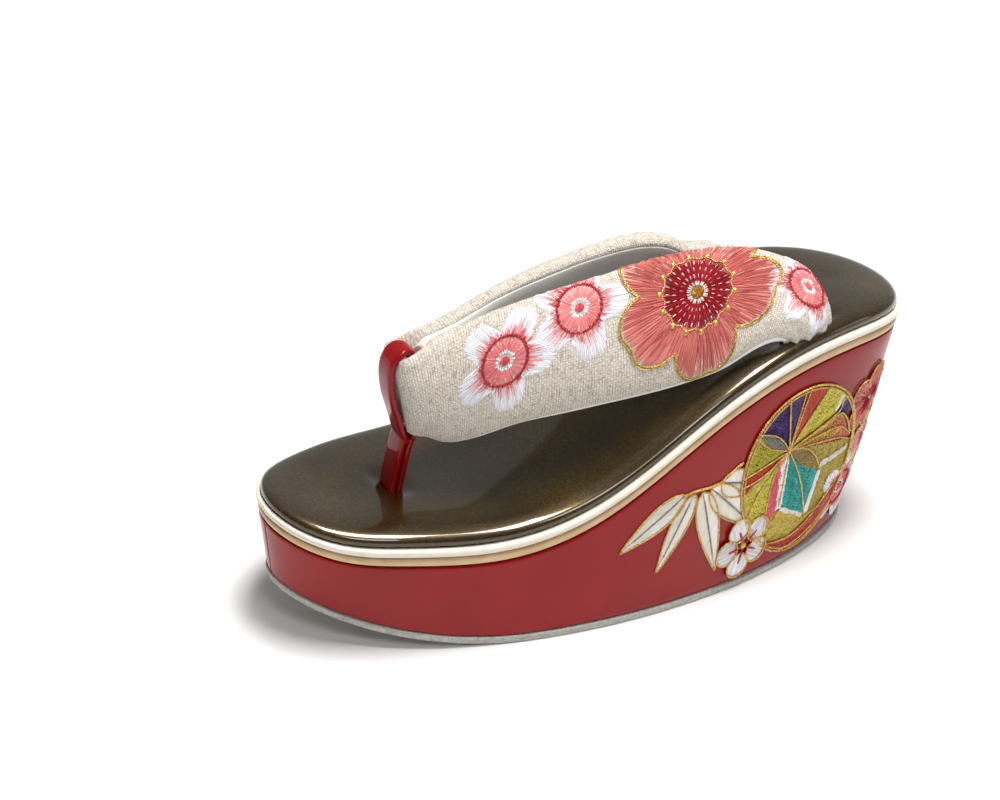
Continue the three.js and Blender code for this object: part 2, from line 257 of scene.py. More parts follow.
# %% Outlines and heights
LENGTH, GAP, SOLE = 240.0, 0.3, 2.6
RIM_PLAN = (46, 1.4, 2.6, 0.9)
FLOOR_PLAN = (45.6, 1.5, -0.7, 0)
FLOOR_MIDDLE, FLOOR_HALF = 4.5, 111.5
RIM_ALONG = (0, 0.07, 0.15, 0.30, 0.45, 0.60, 0.75, 0.90, 1)
RIM_HEIGHT = (45.6, 41.6, 40.3, 39.4, 49.8, 71.7, 86.4, 88.8, 85.5)
TOE_SPRING, SPRING_PART = 15.0, 0.35

rim_line = spline(RIM_ALONG, RIM_HEIGHT)


def rim_over(x):
    """Height of the rim over the ground, x from the middle."""
    return rim_line(0.5 - np.asarray(x) / LENGTH)


def half_width(plan, angle):
    """Half the width of an outline at an angle round it, 0 at the toe."""
    return sum(part * np.sin(turns * angle) for part, turns in zip(plan, (1, 2, 3, 5)))


def rim(angle):
    """Points of the rim."""
    height = rim_line((1 - np.cos(angle)) / 2)
    return np.stack([LENGTH / 2 * np.cos(angle), half_width(RIM_PLAN, angle), height], -1)


def spring_over(x):
    """How far the sole is off the ground: it springs up towards the toe."""
    from_toe = (FLOOR_MIDDLE + FLOOR_HALF - x) / (2 * FLOOR_HALF)
    return TOE_SPRING * np.clip(1 - from_toe / SPRING_PART, 0, None) ** 2


def ground_line(angle, lift):
    """Points of the sole's outline, lifted."""
    x = FLOOR_MIDDLE + FLOOR_HALF * np.cos(angle)
    return np.stack([x, half_width(FLOOR_PLAN, angle), spring_over(x) + lift], -1)


print("rim at the toe, ball and heel:", [float(rim_over(x).round(1)) for x in (120, 40, -110)])

# %% [markdown]
# ## Rings on the wall
# The side wall runs straight from the rim down to the sole. Each layer of the platform needs
# rings at some depth down this wall, moved in or out a little, and a flat top or bottom that
# closes in a line along the middle.

# %% Rings on the wall
MIDDLE_LENGTH = 0.8


def wall(angle, part):
    """Points of the side wall; part is 0 at the rim and 1 at the sole."""
    return rim(angle) + (ground_line(angle, SOLE) - rim(angle)) * np.asarray(part)[..., None]


def wall_below(angle, depth):
    """Points of the side wall, depth under the rim."""
    height = rim(angle)[..., 2] - ground_line(angle, SOLE)[..., 2]
    return wall(angle, depth / height)


def moved_in(points, inset, level_with=None):
    """A closed ring moved inwards in plan, its heights following a curve over x if given."""
    run = np.roll(points, -1, 0) - np.roll(points, 1, 0)
    size = np.hypot(run[:, 0], run[:, 1])
    new = points.copy()
    new[:, 0] -= inset * run[:, 1] / size
    new[:, 1] += inset * run[:, 0] / size
    if level_with is not None:
        new[:, 2] += level_with(new[:, 0]) - level_with(points[:, 0])
    return new


def middle_line(ring, height_over):
    """A ring drawn together into a line along the middle, to close a layer's flat side."""
    line = ring * [MIDDLE_LENGTH, 0, 1]
    line[:, 2] = height_over(line[:, 0])
    return line


print("the wall 10 mm below the heel's rim:", wall_below(np.array(math.pi), 10).round(1))

# %% [markdown]
# ## Modelling with rings
# All the layers are lofts. By hand one would add a circle, extrude it, place the new ring, and
# go on to the next; `grow` does just that, so each ring keeps its points in order. A ring that
# falls together into a line or a point is welded, and an open one gets a face across it. Two
# numbers stay on each vertex, its row and its step round the ring, and they later give the
# cloth its UV map.

# %% The grow helper
WELD_MM = 0.002


def grow(name, rings, caps=(True, True), smooth_degrees=40):
    """A piece made from a circle, extruded once for each ring of points (in millimetres)."""
    bpy.ops.object.select_all(action="DESELECT")
    bpy.ops.mesh.primitive_circle_add(vertices=len(rings[0]), radius=0.01)
    piece = bpy.context.object
    piece.name = piece.data.name = name
    bpy.ops.object.mode_set(mode="EDIT")
    shape = bmesh.from_edit_mesh(piece.data)
    shape.verts.layers.int.new("step")
    shape.verts.layers.int.new("row")
    step = shape.verts.layers.int["step"]
    for i, vert in enumerate(shape.verts):
        vert[step] = i
    for k, ring in enumerate(rings):
        if k:
            bpy.ops.mesh.extrude_edges_move()
        shape = bmesh.from_edit_mesh(piece.data)
        step, row = (shape.verts.layers.int[key] for key in ("step", "row"))
        for vert in shape.verts:
            if vert.select:
                vert.co = Vector(ring[vert[step]]) * MM
                vert[row] = k
    for wanted, k in zip(caps, (0, len(rings) - 1)):
        if wanted:
            select_row(piece, k)
            bpy.ops.mesh.edge_face_add()
    bpy.ops.mesh.select_all(action="SELECT")
    bpy.ops.mesh.remove_doubles(threshold=WELD_MM * MM)
    bpy.ops.mesh.normals_make_consistent(inside=False)
    bpy.ops.object.mode_set(mode="OBJECT")
    bpy.ops.object.shade_smooth_by_angle(angle=math.radians(smooth_degrees))
    return piece


def select_row(piece, k):
    """Selects the edges of one ring in edit mode."""
    bpy.ops.mesh.select_all(action="DESELECT")
    shape = bmesh.from_edit_mesh(piece.data)
    row = shape.verts.layers.int["row"]
    for edge in shape.edges:
        edge.select_set(edge.verts[0][row] == k and edge.verts[1][row] == k)
    bmesh.update_edit_mesh(piece.data)


print("grow welds points closer than", WELD_MM, "mm")

# %% [markdown]
# ## Finishing a piece
# Two more steps come back for every piece. A modifier is added and applied at once, as the
# modifier's menu does it. Then the piece gets its materials, rides on the one body, and hides
# the imported node that it stands for.

# %% Modifiers and places
def apply_modifier(piece, kind, **settings):
    """Adds a modifier to a piece and applies it."""
    bpy.ops.object.select_all(action="DESELECT")
    piece.select_set(True)
    bpy.context.view_layer.objects.active = piece
    modifier = piece.modifiers.new(kind.title(), kind)
    for key, value in settings.items():
        setattr(modifier, key, value)
    bpy.ops.object.modifier_apply(modifier=modifier.name)


def settle(piece, node, slot, *materials):
    """Gives a piece its materials and its place in the model."""
    for material in materials:
        piece.data.materials.append(material)
    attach(piece, "root")
    if node:
        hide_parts(node)
    print(piece.name, "-", len(piece.data.polygons), "faces")


# %% [markdown]
# ## Steps round the rim
# All rings of the platform use the same angles, so that their points line up. The ends of the
# leather meet in a join at the toe, and the steps are finest there, to draw its narrow groove.

# %% Steps round the rim
RIM_STEPS = 240
even = np.linspace(0, 2 * math.pi, RIM_STEPS + 1)[:-1]
AT_JOIN = np.array([0.003, 0.007, 0.012, 0.018])
ANGLES = np.sort(np.concatenate([even, AT_JOIN, 2 * math.pi - AT_JOIN]))


def toe_join(points, deep, half=0.45):
    """Sinks a narrow groove into a ring where the covering's two ends meet at the toe."""
    near = np.exp(-(points[:, 1] / half) ** 2) * (points[:, 0] > 0)
    points[:, 0] -= deep * near
    return points


print("steps round a ring:", len(ANGLES))

# %% [markdown]
# ## Outsole
# A single sheet of grey suede split, 2.6 mm thick, is glued on last. Its cut edge stands a hair
# proud and frays, so the edge rings are jittered a little and the nap is left to the material.

# %% Outsole
# Rows of (height in the sheet, inset from the outline), up round the cut edge.
SOLE_PROFILE = ((0, 1.2), (0, 0.1), (0.35, -0.4), (1.3, -0.5), (2.3, -0.4), (2.6, 0.1), (2.6, 1.2))
FRAY = 0.05
rng = np.random.default_rng(7)


def frayed(points, amount):
    """Jitters a ring in plan, as a cut suede edge is."""
    points[:, :2] += rng.normal(0, amount, (len(points), 2))
    return points


sole_rings = []
for lift, inset in SOLE_PROFILE:
    edge_line = moved_in(ground_line(ANGLES, lift), inset)
    sole_rings.append(frayed(edge_line, FRAY if inset < 1 else 0))
sole_rings.insert(0, middle_line(sole_rings[0], spring_over))
sole_rings.append(middle_line(sole_rings[-1], lambda x: spring_over(x) + SOLE))
outsole = grow("suede_outsole", sole_rings, caps=(False, False))
settle(outsole, "outsole", "outsole", grey_suede)

# %% [markdown]
# ## Wedge
# The platform is a cork-and-foam block in one wrap of red enamelled leather. The wrap turns
# under at the top and the bottom, and its ends meet in a fine upright join at the toe.

# %% Wedge
WHITE_HEIGHT, TAN_HEIGHT = 3.2, 3.1
TAN_TOP = WHITE_HEIGHT + GAP
WEDGE_TOP = TAN_TOP + TAN_HEIGHT + GAP
TURNED_UNDER = 3
WALL_SHARES = (0.015, 0.05, 0.15, 0.3, 0.45, 0.6, 0.75, 0.88, 0.95, 0.985)

wall_height = rim(ANGLES)[:, 2] - ground_line(ANGLES, SOLE)[:, 2]
wedge_rings = [moved_in(wall_below(ANGLES, WEDGE_TOP), inset, rim_over) for inset in (TURNED_UNDER, 0.9)]
wedge_rings.append(moved_in(wall_below(ANGLES, WEDGE_TOP + 0.25), 0.25, rim_over))
start = (WEDGE_TOP + 0.4) / wall_height
low_edge = 1 - (GAP + 0.05) / wall_height
for share in WALL_SHARES:
    wedge_rings.append(toe_join(wall(ANGLES, start + share * (low_edge - start)), 0.35))
wedge_rings.append(moved_in(wall(ANGLES, low_edge), 0.5))
wedge_rings.append(moved_in(wall(ANGLES, low_edge), TURNED_UNDER))
wedge_rings.insert(0, middle_line(wedge_rings[0], lambda x: rim_over(x) - WEDGE_TOP))
wedge_rings.append(middle_line(wedge_rings[-1], lambda x: spring_over(x) + SOLE + GAP))
wedge = grow("red_wedge", wedge_rings, caps=(False, False))
settle(wedge, "wedge", "wedge", red_enamel)

# %% [markdown]
# ## Edge bands
# Two strips of enamelled leather over cord run round the rim, ivory over tan. Each has a round
# face, and the narrow gaps above, between and below them are what makes the edge look crisp. A
# subdivision rounds the profile, and both bands meet in a join at the toe.

# %% Edge bands
# Rows of (depth under the band's top, inset), from the top inner edge round to the lower one.
WHITE_PROFILE = ((0.15, 4.0), (0.0, 1.4), (0.35, 0.35), (1.2, -0.15), (2.1, -0.1), (2.9, 0.35),
                 (3.15, 1.4), (3.1, 4.0))
TAN_PROFILE = ((0.0, 4.0), (0.02, 1.2), (0.4, 0.3), (1.2, 0.0), (2.0, -0.02), (2.75, 0.3),
               (3.08, 1.0), (3.05, 4.0))


def edge_band(name, top, profile):
    """A band round the rim, its top a depth under the rim."""
    rings = []
    for depth, inset in profile:
        line = moved_in(wall_below(ANGLES, top + depth), inset, rim_over)
        rings.append(toe_join(line, 0.5 if inset < 1 else 0))
    rings.append(rings[0].copy())
    band = grow(name, rings, caps=(False, False))
    apply_modifier(band, "SUBSURF", levels=1, render_levels=1)
    return band


ivory_band = edge_band("ivory_edge_band", 0, WHITE_PROFILE)
settle(ivory_band, "band_white", "band_white", ivory_enamel)
tan_band = edge_band("tan_edge_band", TAN_TOP, TAN_PROFILE)
settle(tan_band, "band_tan", "band_tan", tan_enamel)

# %% [markdown]
# ## Footbed
# The cushion is foam under bronze-olive patent leather, rolled over its edge. Its height over
# the rim depends only on the distance from the edge, and past the roll the surface runs level
# to the middle line. The patent is drawn down into three holes, where the strap's ends and the
# front thong go through, so the surface dips towards each of them.

# %% Footbed
PAD_INSET = (5.5, 2.2, 1.7, 1.6, 1.75, 2.2, 3.2, 4.6, 6.4, 8.6, 11.4, 15, 20)
PAD_RISE = (0.25, 0.3, 0.75, 1.4, 2.3, 3.15, 3.9, 4.4, 4.75, 4.95, 5.05, 5.05, 4.95)
MIDDLE_RISE = 4.6
INNER_SHARES = (0.12, 0.24, 0.36, 0.48, 0.6, 0.7, 0.8, 0.9, 1)
PAST_ROLL, DIP_REACH = 8, 3.4
# Each hole: its middle, its length and width, its turn, and how deep the leather dips.
HOLES = {
    "outer": {"x": -66.6, "y": 28, "long": 17.8, "wide": 10, "turn": -0.12, "dip": 2.0},
    "inner": {"x": -57.2, "y": -28, "long": 17.4, "wide": 9.6, "turn": 0.12, "dip": 2.0},
    "front": {"x": 73.1, "y": 0, "long": 6.8, "wide": 10.8, "turn": 0, "dip": 1.3},
}


def from_hole(hole, x, y):
    """How far points are outside a hole's rounded outline, as a share of its size."""
    along = (x - hole["x"]) * math.cos(hole["turn"]) + (y - hole["y"]) * math.sin(hole["turn"])
    aside = (y - hole["y"]) * math.cos(hole["turn"]) - (x - hole["x"]) * math.sin(hole["turn"])
    return ((2 * along / hole["long"]) ** 4 + (2 * aside / hole["wide"]) ** 4) ** 0.25


def dips(x, y):
    """How deep the cushion's surface is drawn down near its holes."""
    return sum(hole["dip"] * np.exp(-((np.clip(from_hole(hole, x, y) - 1, 0, None)
                                       * hole["wide"] / 2) / DIP_REACH) ** 2)
               for hole in HOLES.values())


pad_rings = [middle_line(rim(ANGLES), lambda x: rim_over(x) + PAD_RISE[0])]
for inset, rise in zip(PAD_INSET, PAD_RISE):
    ring = moved_in(rim(ANGLES) + [0, 0, rise], inset, rim_over)
    if inset > PAST_ROLL:
        ring[:, 2] -= dips(ring[:, 0], ring[:, 1])
    pad_rings.append(ring)
border = moved_in(rim(ANGLES), PAD_INSET[-1])
for share in INNER_SHARES:
    ring = border * [1 - 0.1 * share, 1 - share, 1]
    rise = MIDDLE_RISE + (PAD_RISE[-1] - MIDDLE_RISE) * (1 - share) ** 2
    ring[:, 2] = rim_over(ring[:, 0]) + rise - dips(ring[:, 0], ring[:, 1])
    pad_rings.append(ring)
footbed = grow("pearl_footbed", pad_rings, caps=(False, False))
apply_modifier(footbed, "SUBSURF", levels=1, render_levels=1)
print("the cushion stands", round(max(PAD_RISE) - PAD_RISE[0], 1), "mm over its seam")

# %% [markdown]
# The holes are cut by plugs. Each plug is a cylinder, scaled to the hole's length and width,
# turned, and put in place.

# %% Cut the holes
for title, hole in HOLES.items():
    bpy.ops.object.select_all(action="DESELECT")
    middle = Vector((hole["x"], hole["y"], float(rim_over(hole["x"])))) * MM
    bpy.ops.mesh.primitive_cylinder_add(vertices=48, radius=0.5, depth=60 * MM)
    plug = bpy.context.object
    bpy.ops.object.mode_set(mode="EDIT")
    bpy.ops.transform.resize(value=(hole["long"] * MM, hole["wide"] * MM, 1))
    bpy.ops.object.mode_set(mode="OBJECT")
    plug.data.transform(Matrix.Translation(middle) @ Matrix.Rotation(hole["turn"], 4, "Z"))
    apply_modifier(footbed, "BOOLEAN", object=plug, operation="DIFFERENCE", solver="EXACT")
    bpy.data.objects.remove(plug)
bpy.context.view_layer.objects.active = footbed
bpy.ops.object.shade_smooth_by_angle(angle=math.radians(35))
settle(footbed, "footbed", "footbed", bronze_patent)

# %% [markdown]
# ## Linen, lining and their weave
# The strap is covered in slubby undyed linen. Plain weave shows as a fine grid with darker
# flecks where a thick thread passes, so the pattern is drawn on the piece's UV map, which is in
# millimetres, along and round the strap. The thread spacing is a real 0.9 mm. The lining is a
# smooth pale cotton.

# %% Thread pattern
# How far the threads stray, as a share that a slow noise has in their coordinates.
WOBBLE = 0.04


def weave_height(tree, spot, pitch_mm):
    """The height of a plain weave's threads, at a pitch along and across."""
    wobble = add(tree, "ShaderNodeTexNoise", Vector=spot, Scale=0.35, Detail=2.0).outputs["Color"]
    bent = add(tree, "ShaderNodeMix", {"data_type": "VECTOR"}, i0=WOBBLE, i4=spot, i5=wobble)
    parts = add(tree, "ShaderNodeSeparateXYZ", Vector=bent.outputs[1])
    waves = []
    for axis in ("X", "Y"):
        turn = add(tree, "ShaderNodeMath", {"operation": "MULTIPLY"}, i0=parts.outputs[axis],
                   i1=math.pi / pitch_mm / (1 - WOBBLE))
        wave = add(tree, "ShaderNodeMath", {"operation": "SINE"}, i0=turn.outputs[0])
        waves.append(wave.outputs[0])
    over = add(tree, "ShaderNodeMath", {"operation": "MULTIPLY"}, i0=waves[0], i1=waves[1])
    ridges = [add(tree, "ShaderNodeMath", {"operation": "ABSOLUTE"}, i0=w).outputs[0] for w in waves]
    weft = add(tree, "ShaderNodeMath", {"operation": "MULTIPLY"}, i0=ridges[1], i1=0.35)
    cells = add(tree, "ShaderNodeMath", {"operation": "MULTIPLY_ADD"}, i0=ridges[0], i1=0.6,
                i2=weft.outputs[0])
    height = add(tree, "ShaderNodeMath", {"operation": "MULTIPLY_ADD"}, i0=over.outputs[0], i1=0.35,
                 i2=cells.outputs[0])
    return height.outputs[0]


def slub_share(tree, spot):
    """High where a thick thread passes, along either direction of the weave."""
    slubs = []
    for stretch in ((0.45, 3.4, 1), (3.4, 0.35, 1)):
        along = add(tree, "ShaderNodeMapping", Vector=spot, Scale=stretch)
        slub = add(tree, "ShaderNodeTexNoise", Vector=along.outputs[0], Scale=0.7, Detail=3.0,
                   Roughness=0.65)
        slubs.append(slub.outputs["Fac"])
    return add(tree, "ShaderNodeMath", {"operation": "MAXIMUM"}, i0=slubs[0], i1=slubs[1]).outputs[0]


print("thread pattern ready")

# %% [markdown]
# The threads' height gives both the colour and the bump: the colour is painted shade, dark in the
# hollows, and pale on top.
# A slub stands up a little. In the linen it is also brown-grey, and in the lining it is not.

# %% Cloth materials
FLECK_SWATCH = "#85755f"


def woven(name, pitch_mm, hollow_shade_swatches, fleck, relief_mm):
    """Plain weave on the UV map. The swatches run from painted shade in the hollows to the tops of the
    threads.
    """
    material, tree, shader = finish(name, Roughness=0.9, Sheen_Weight=0.25, Sheen_Roughness=0.5,
                                    Specular_IOR_Level=0.25)
    spot = add(tree, "ShaderNodeUVMap", {"uv_map": "millimetres"}).outputs["UV"]
    height, thick = weave_height(tree, spot, pitch_mm), slub_share(tree, spot)
    # The height ramp paints shade into the hollows between threads; the tops keep the thread's colour.
    base = ramp(tree, height, (0.0, hollow_shade_swatches[0]), (0.45, hollow_shade_swatches[1]), (1, hollow_shade_swatches[2]))
    flecked = ramp(tree, thick, (0.53, "#000000"), (0.65, "#ffffff"))
    share = add(tree, "ShaderNodeMath", {"operation": "MULTIPLY"}, i0=flecked, i1=fleck)
    colour = add(tree, "ShaderNodeMix", {"data_type": "RGBA"}, i0=share.outputs[0], i6=base,
                 i7=linear(FLECK_SWATCH))
    tree.links.new(colour.outputs[2], shader.inputs["Base Color"])
    raised = add(tree, "ShaderNodeMath", {"operation": "MULTIPLY_ADD"}, i0=thick, i1=1.4, i2=height)
    bump = add(tree, "ShaderNodeBump", Height=raised.outputs[0], Strength=0.8,
               Distance=relief_mm * MM)
    tree.links.new(bump.outputs["Normal"], shader.inputs["Normal"])
    return material


# Each cloth's first swatch is painted shade for the hollows of its weave.
linen = woven("slubby_linen_weave", 0.9, ("#a99c8b", "#d6ccbf", "#ebe4da"), 0.75, 0.18)
lining = woven("pale_cotton_lining", 0.55, ("#efece4", "#f6f4ee", "#faf9f5"), 0.0, 0.05)
print("cloths:", linen.name, lining.name)

# %% [markdown]
# ## The strap's shape
# The strap is two long pads that meet in a fold between the toes. A table gives some sections
# of each pad from the fold to its hole: the middles of its lower and upper rolled edges, its
# thickness and how far its outer face is crowned. Curves run through the table's columns, and a
# section is a rounded slab between its two edges. The rear ends are gathered into pleats where
# they go down into their holes, and a seam sinks a little on each side where the linen meets
# the lining.

# %% Strap tables
# Columns: low edge x, y, z; top edge x, y, z; thickness; crown.
STRAP_FRONT = ((66, 5.2, 68.8, 71, 4.6, 92, 12.4, 0.3), (54, 10, 67.8, 54, 4.6, 97, 12.4, 1.2),
               (38, 15.5, 73.5, 36, 6.5, 103.4, 12, 2.2), (15, 21.5, 79, 12, 9, 108.7, 12, 2.5),
               (-13, 27, 84, -14, 10, 113, 12, 2.5))
OUTER_REAR = ((-33, 29.5, 89, -40, 11, 114, 12.5, 2.5), (-48, 30.5, 95, -60, 15, 110.5, 13, 2),
              (-57, 30.5, 95, -70, 20.5, 104, 13, 1.5), (-61, 29.5, 91.5, -73, 26, 95, 12, 0.5),
              (-63, 28, 88, -71, 27.5, 88, 8, 0))
INNER_REAR = ((-31, 29.5, 88, -34, 10.5, 109.5, 12.5, 2.5), (-42, 30.5, 92.5, -45, 15, 98.5, 12, 2),
              (-49, 30.5, 93.5, -54, 20.5, 96, 12, 1.5), (-53, 29.5, 90.5, -62, 26, 94, 12, 0.5),
              (-54, 28, 86, -62, 27.5, 87, 8, 0))
EDGE_ROLL = 5.0
SEAMS = tuple(math.radians(angle) for angle in (-22, 166))
SEAM_HALF = 0.03
around = np.linspace(-math.pi / 2, 1.5 * math.pi, 73)[:-1]
beside_seams = [[seam - 0.04, seam - 0.015, seam + 0.015, seam + 0.04] for seam in SEAMS]
AROUND = np.sort(np.concatenate([around] + beside_seams))
print("steps round the strap:", len(AROUND))

# %% [markdown]
# ## The strap's surface
# The curves through the table give many places along the pad, and each becomes one rounded
# section, square to the pad's run. Cloth over a filling is never even, so each point then sinks
# or swells a little: pleats where the ends are gathered, tucks at the fold, the two seams, and
# slow lumps of the filling.

# %% Strap surface
def sections(rows, side, at, turn):
    """Points of a pad: at counts the table's rows, turn goes round from the top edge outwards."""
    columns = spline(range(len(rows)), rows)
    flip = np.array([1, side, 1])
    here, ahead = columns(at), columns(at + 0.05)
    low, top = here[:, 0:3] * flip, here[:, 3:6] * flip
    onward = (ahead[:, 0:3] + ahead[:, 3:6]) / 2 * flip - (low + top) / 2
    across = top - low
    length = np.linalg.norm(across, axis=1, keepdims=True)
    across /= length
    out = np.cross(onward, across) * side
    out /= np.linalg.norm(out, axis=1, keepdims=True)
    u, v = (np.sign(wave) * np.abs(wave) ** 0.85 for wave in (np.cos(turn), np.sin(turn)))
    reach = across[:, None] * (u[None, :, None] * (length / 2 + EDGE_ROLL)[:, None])
    swell = here[:, 6, None] / 2 * v + here[:, 7, None] * (1 - u * u)
    return (low + top)[:, None] / 2 + reach + out[:, None] * swell[..., None]


def across_faces(grid):
    """Unit directions out of a grid of points, away from the middle of each row."""
    normal = np.cross(np.gradient(grid, axis=0), np.gradient(grid, axis=1))
    normal /= np.linalg.norm(normal, axis=-1, keepdims=True) + 1e-9
    away = (normal * (grid - grid.mean(1, keepdims=True))).sum()
    return normal * np.sign(away)


def cloth_moves(at, turn, last, seed):
    """How far the cover sinks or swells: pleats at the hole, seams, and the filling's lumps."""
    near = np.clip((at - (last - 2.9)) / 2.4, 0, 1)[:, None]
    pleats = -1.5 * near ** 1.5 * np.abs(np.sin(5.5 * turn + 0.9 * at[:, None] + seed)) ** 3
    wrinkles = -0.6 * near * np.abs(np.sin(13 * turn + 2.1 * at[:, None])) ** 4
    front = np.clip(1 - at / 1.1, 0, 1)[:, None]
    tucks = -0.5 * front ** 2 * np.abs(np.sin(4.5 * turn + 1.1 * at[:, None] + 0.4)) ** 3
    seams = sum(-0.45 * np.exp(-((turn - seam) / SEAM_HALF) ** 2) for seam in SEAMS)
    lumps = np.array([[noise.noise(Vector((a * 1.3 + seed, math.cos(t) * 1.1, math.sin(t) * 1.1)))
                       for t in turn] for a in at]) * 0.45
    return pleats + wrinkles + tucks + seams + lumps


print("deepest pleat:", round(float(cloth_moves(np.array([9.0]), AROUND, 9, 1.7).min()), 2), "mm")

# %% [markdown]
# ## The front thong's path
# A flat red band loops round the strap's fold, and its two ends go down together as a stem. The
# loop comes before the strap here, because the band squeezes the padding, and the strap's
# points are pushed out of its way.

# %% Thong path
LOOP_STEPS = 96
# Columns: x, z and width of the band, up the front, over the fold and down behind it.
LOOP_PATH = ((69.8, 61.6, 9.5), (72.8, 70, 9.5), (75.4, 78, 9.5), (76.7, 86, 9.5), (76, 92, 9.5),
             (72.6, 95.8, 9), (68.4, 93.8, 6), (66.4, 84, 4.5), (66, 72, 5), (66.8, 64, 7.5))
STEM_PATH = ((69.6, 62.8, 9.3), (71, 56, 9.4), (72.6, 47, 9.4), (73.2, 41, 9.4), (73.2, 33.8, 9.4))
BAND_THICKNESS = 2.5

wrapped = LOOP_PATH[-3:] + LOOP_PATH + LOOP_PATH[:3]
loop_curve = spline(range(-3, len(LOOP_PATH) + 3), wrapped)
loop = loop_curve(np.linspace(0, len(LOOP_PATH), LOOP_STEPS + 1)[:-1])
FRONT_RUN, BACK_RUN = loop[:46], loop[56:]
band_length = np.linalg.norm(np.diff(loop[:, :2], axis=0), axis=1).sum()
print("band round the fold:", round(float(band_length)), "mm")

# %% [markdown]
# ## Room for the band
# Where the band lies, the padding gives way: under the band in front, under it on top, and
# between the two pads behind, where it pinches them. The pads also rest on the cushion and only
# sink below it inside their own holes. One function moves any point that is in the way.

# %% Room for the band
# Pairs of (x, width of the band) and (x, top of the padding under the band).
BAND_WIDTHS = ((66, 4.5), (68.4, 6), (72.6, 9.3))
PAD_TOPS = ((62, 99), (66.4, 93), (68.4, 92.1), (70.5, 93.8), (72.6, 94.3), (74.5, 93.6), (76, 90))
PAD_SPREAD, PINCH_REACH, FOLD_FROM = 3.5, 2.2, 62


def make_room(points):
    """Pushes a pad's points clear of the other pad, the band and the cushion."""
    x, y, z = points[..., 0], points[..., 1], points[..., 2]
    side = np.sign(y.mean())
    y = side * np.maximum(np.abs(y), 0.12)
    clear = BAND_THICKNESS / 2 + 0.15
    wide = np.interp(x, *zip(*BAND_WIDTHS)) / 2
    close = np.clip(1 - (np.abs(y) - wide - GAP) / PAD_SPREAD, 0, 1) ** 2
    front_limit = np.interp(z, FRONT_RUN[:40, 1], FRONT_RUN[:40, 0]) - clear
    x = x - close * np.clip(x - front_limit, 0, None)
    top_limit = np.interp(x, *zip(*PAD_TOPS))
    z = z - close * np.clip(z - top_limit, 0, None) * (x > FOLD_FROM)
    back_x = np.interp(z, BACK_RUN[::-1, 1], BACK_RUN[::-1, 0])
    back_wide = np.interp(z, BACK_RUN[::-1, 1], BACK_RUN[::-1, 2]) / 2 + 0.2
    squeeze = np.exp(-((np.clip(np.abs(x - back_x) - 1.6, 0, None)) / PINCH_REACH) ** 2)
    y = side * np.maximum(np.abs(y), back_wide * squeeze)
    bed = rim_over(x) + 4.8 - dips(x, y) + 0.2
    hole = HOLES["outer" if side > 0 else "inner"]
    outside = np.clip((from_hole(hole, x, y) - 0.9) / 0.15, 0, 1)
    z = z + outside * np.clip(bed - z, 0, None) * (x < 20)
    return np.stack([x, y, z], -1)


moved = make_room(np.array([[[70.0, 1, 97]]])) - [70, 1, 97]
print("a point of the padding under the band moves", moved.round(1)[0, 0], "mm")

# %% [markdown]
# ## The padded strap
# Each pad is grown from its sections, with a quarter round at the fold. Faces between the seams
# take the linen and the rest take the lining. The UV map counts millimetres along the pad and
# round it, so that the weave runs true.

# %% Strap pads
CAP_ANGLES = np.radians((90, 78, 64, 48, 32, 16))
CAP_SHRINK = 0.16


def pad_grid(rows, side, seed):
    """The finished points of one pad: rows from the fold to the hole, steps round it."""
    last = len(rows) - 1
    at = np.concatenate([np.linspace(0, 1, 18)[:-1], np.linspace(1, last, 118)])
    grid = sections(rows, side, at, AROUND)
    grid = grid + across_faces(grid) * cloth_moves(at, AROUND, last, seed)[..., None]
    ahead = grid[0].mean(0) - grid[4].mean(0)
    ahead /= np.linalg.norm(ahead)
    middle = grid[0].mean(0)
    spine = grid[0][np.argmin(AROUND % math.pi)] - middle
    spine /= np.linalg.norm(spine)
    caps = []
    for angle in CAP_ANGLES:
        offset = grid[0] - middle
        lengthwise = (offset @ spine)[:, None] * spine
        narrow = (offset - lengthwise) * math.cos(angle)
        shrunk = lengthwise * (1 - CAP_SHRINK * (1 - math.cos(angle))) + narrow
        caps.append(middle + shrunk + ahead * EDGE_ROLL * math.sin(angle))
    return make_room(np.concatenate([caps, grid]))


print("rows of the rounded fold:", len(CAP_ANGLES))

# %% [markdown]
# The map starts and ends in the middle of the lining, where the last step meets the first. A
# face there takes the far end of the map for its early corners, so that none is stretched round.

# %% Grow both pads
def lay_out(piece, grid):
    """Gives a grown pad its UV map in millimetres, along and round."""
    count = grid.shape[1]
    along = np.concatenate([[0], np.cumsum(np.linalg.norm(np.diff(grid, axis=0), axis=2).mean(1))])
    # The girth is taken from the rows between the fold and the gathered end.
    step_size = np.linalg.norm(grid - np.roll(grid, 1, 1), axis=2)[20:100].mean(0)
    round_it = np.concatenate([[0], np.cumsum(np.append(step_size[1:], step_size[0]))])
    size = len(piece.data.vertices)
    row, step = np.zeros(size, int), np.zeros(size, int)
    piece.data.attributes["row"].data.foreach_get("value", row)
    piece.data.attributes["step"].data.foreach_get("value", step)
    layer = piece.data.uv_layers.new(name="millimetres")
    for face in piece.data.polygons:
        steps = [step[v] for v in face.vertices]
        wraps = max(steps) - min(steps) > count / 2
        for corner, vert in zip(face.loop_indices, face.vertices):
            there = count if wraps and step[vert] < count / 2 else step[vert]
            layer.data[corner].uv = along[row[vert]], round_it[there]
        turn = AROUND[min(steps) if not wraps else count - 1]
        face.material_index = 0 if SEAMS[0] < turn + 0.01 < SEAMS[1] else 1


pads = {}
for title, rows, side, seed in (("outer", STRAP_FRONT + OUTER_REAR, 1, 1.7),
                                ("inner", STRAP_FRONT + INNER_REAR, -1, 5.2)):
    grid = pad_grid(rows, side, seed)
    pad = grow(f"strap_pad_{title}", grid, caps=(False, True), smooth_degrees=70)
    settle(pad, "strap", "strap", linen, lining)
    lay_out(pad, grid)
    apply_modifier(pad, "SUBSURF", levels=1, render_levels=1)
    pads[title] = (pad, grid)

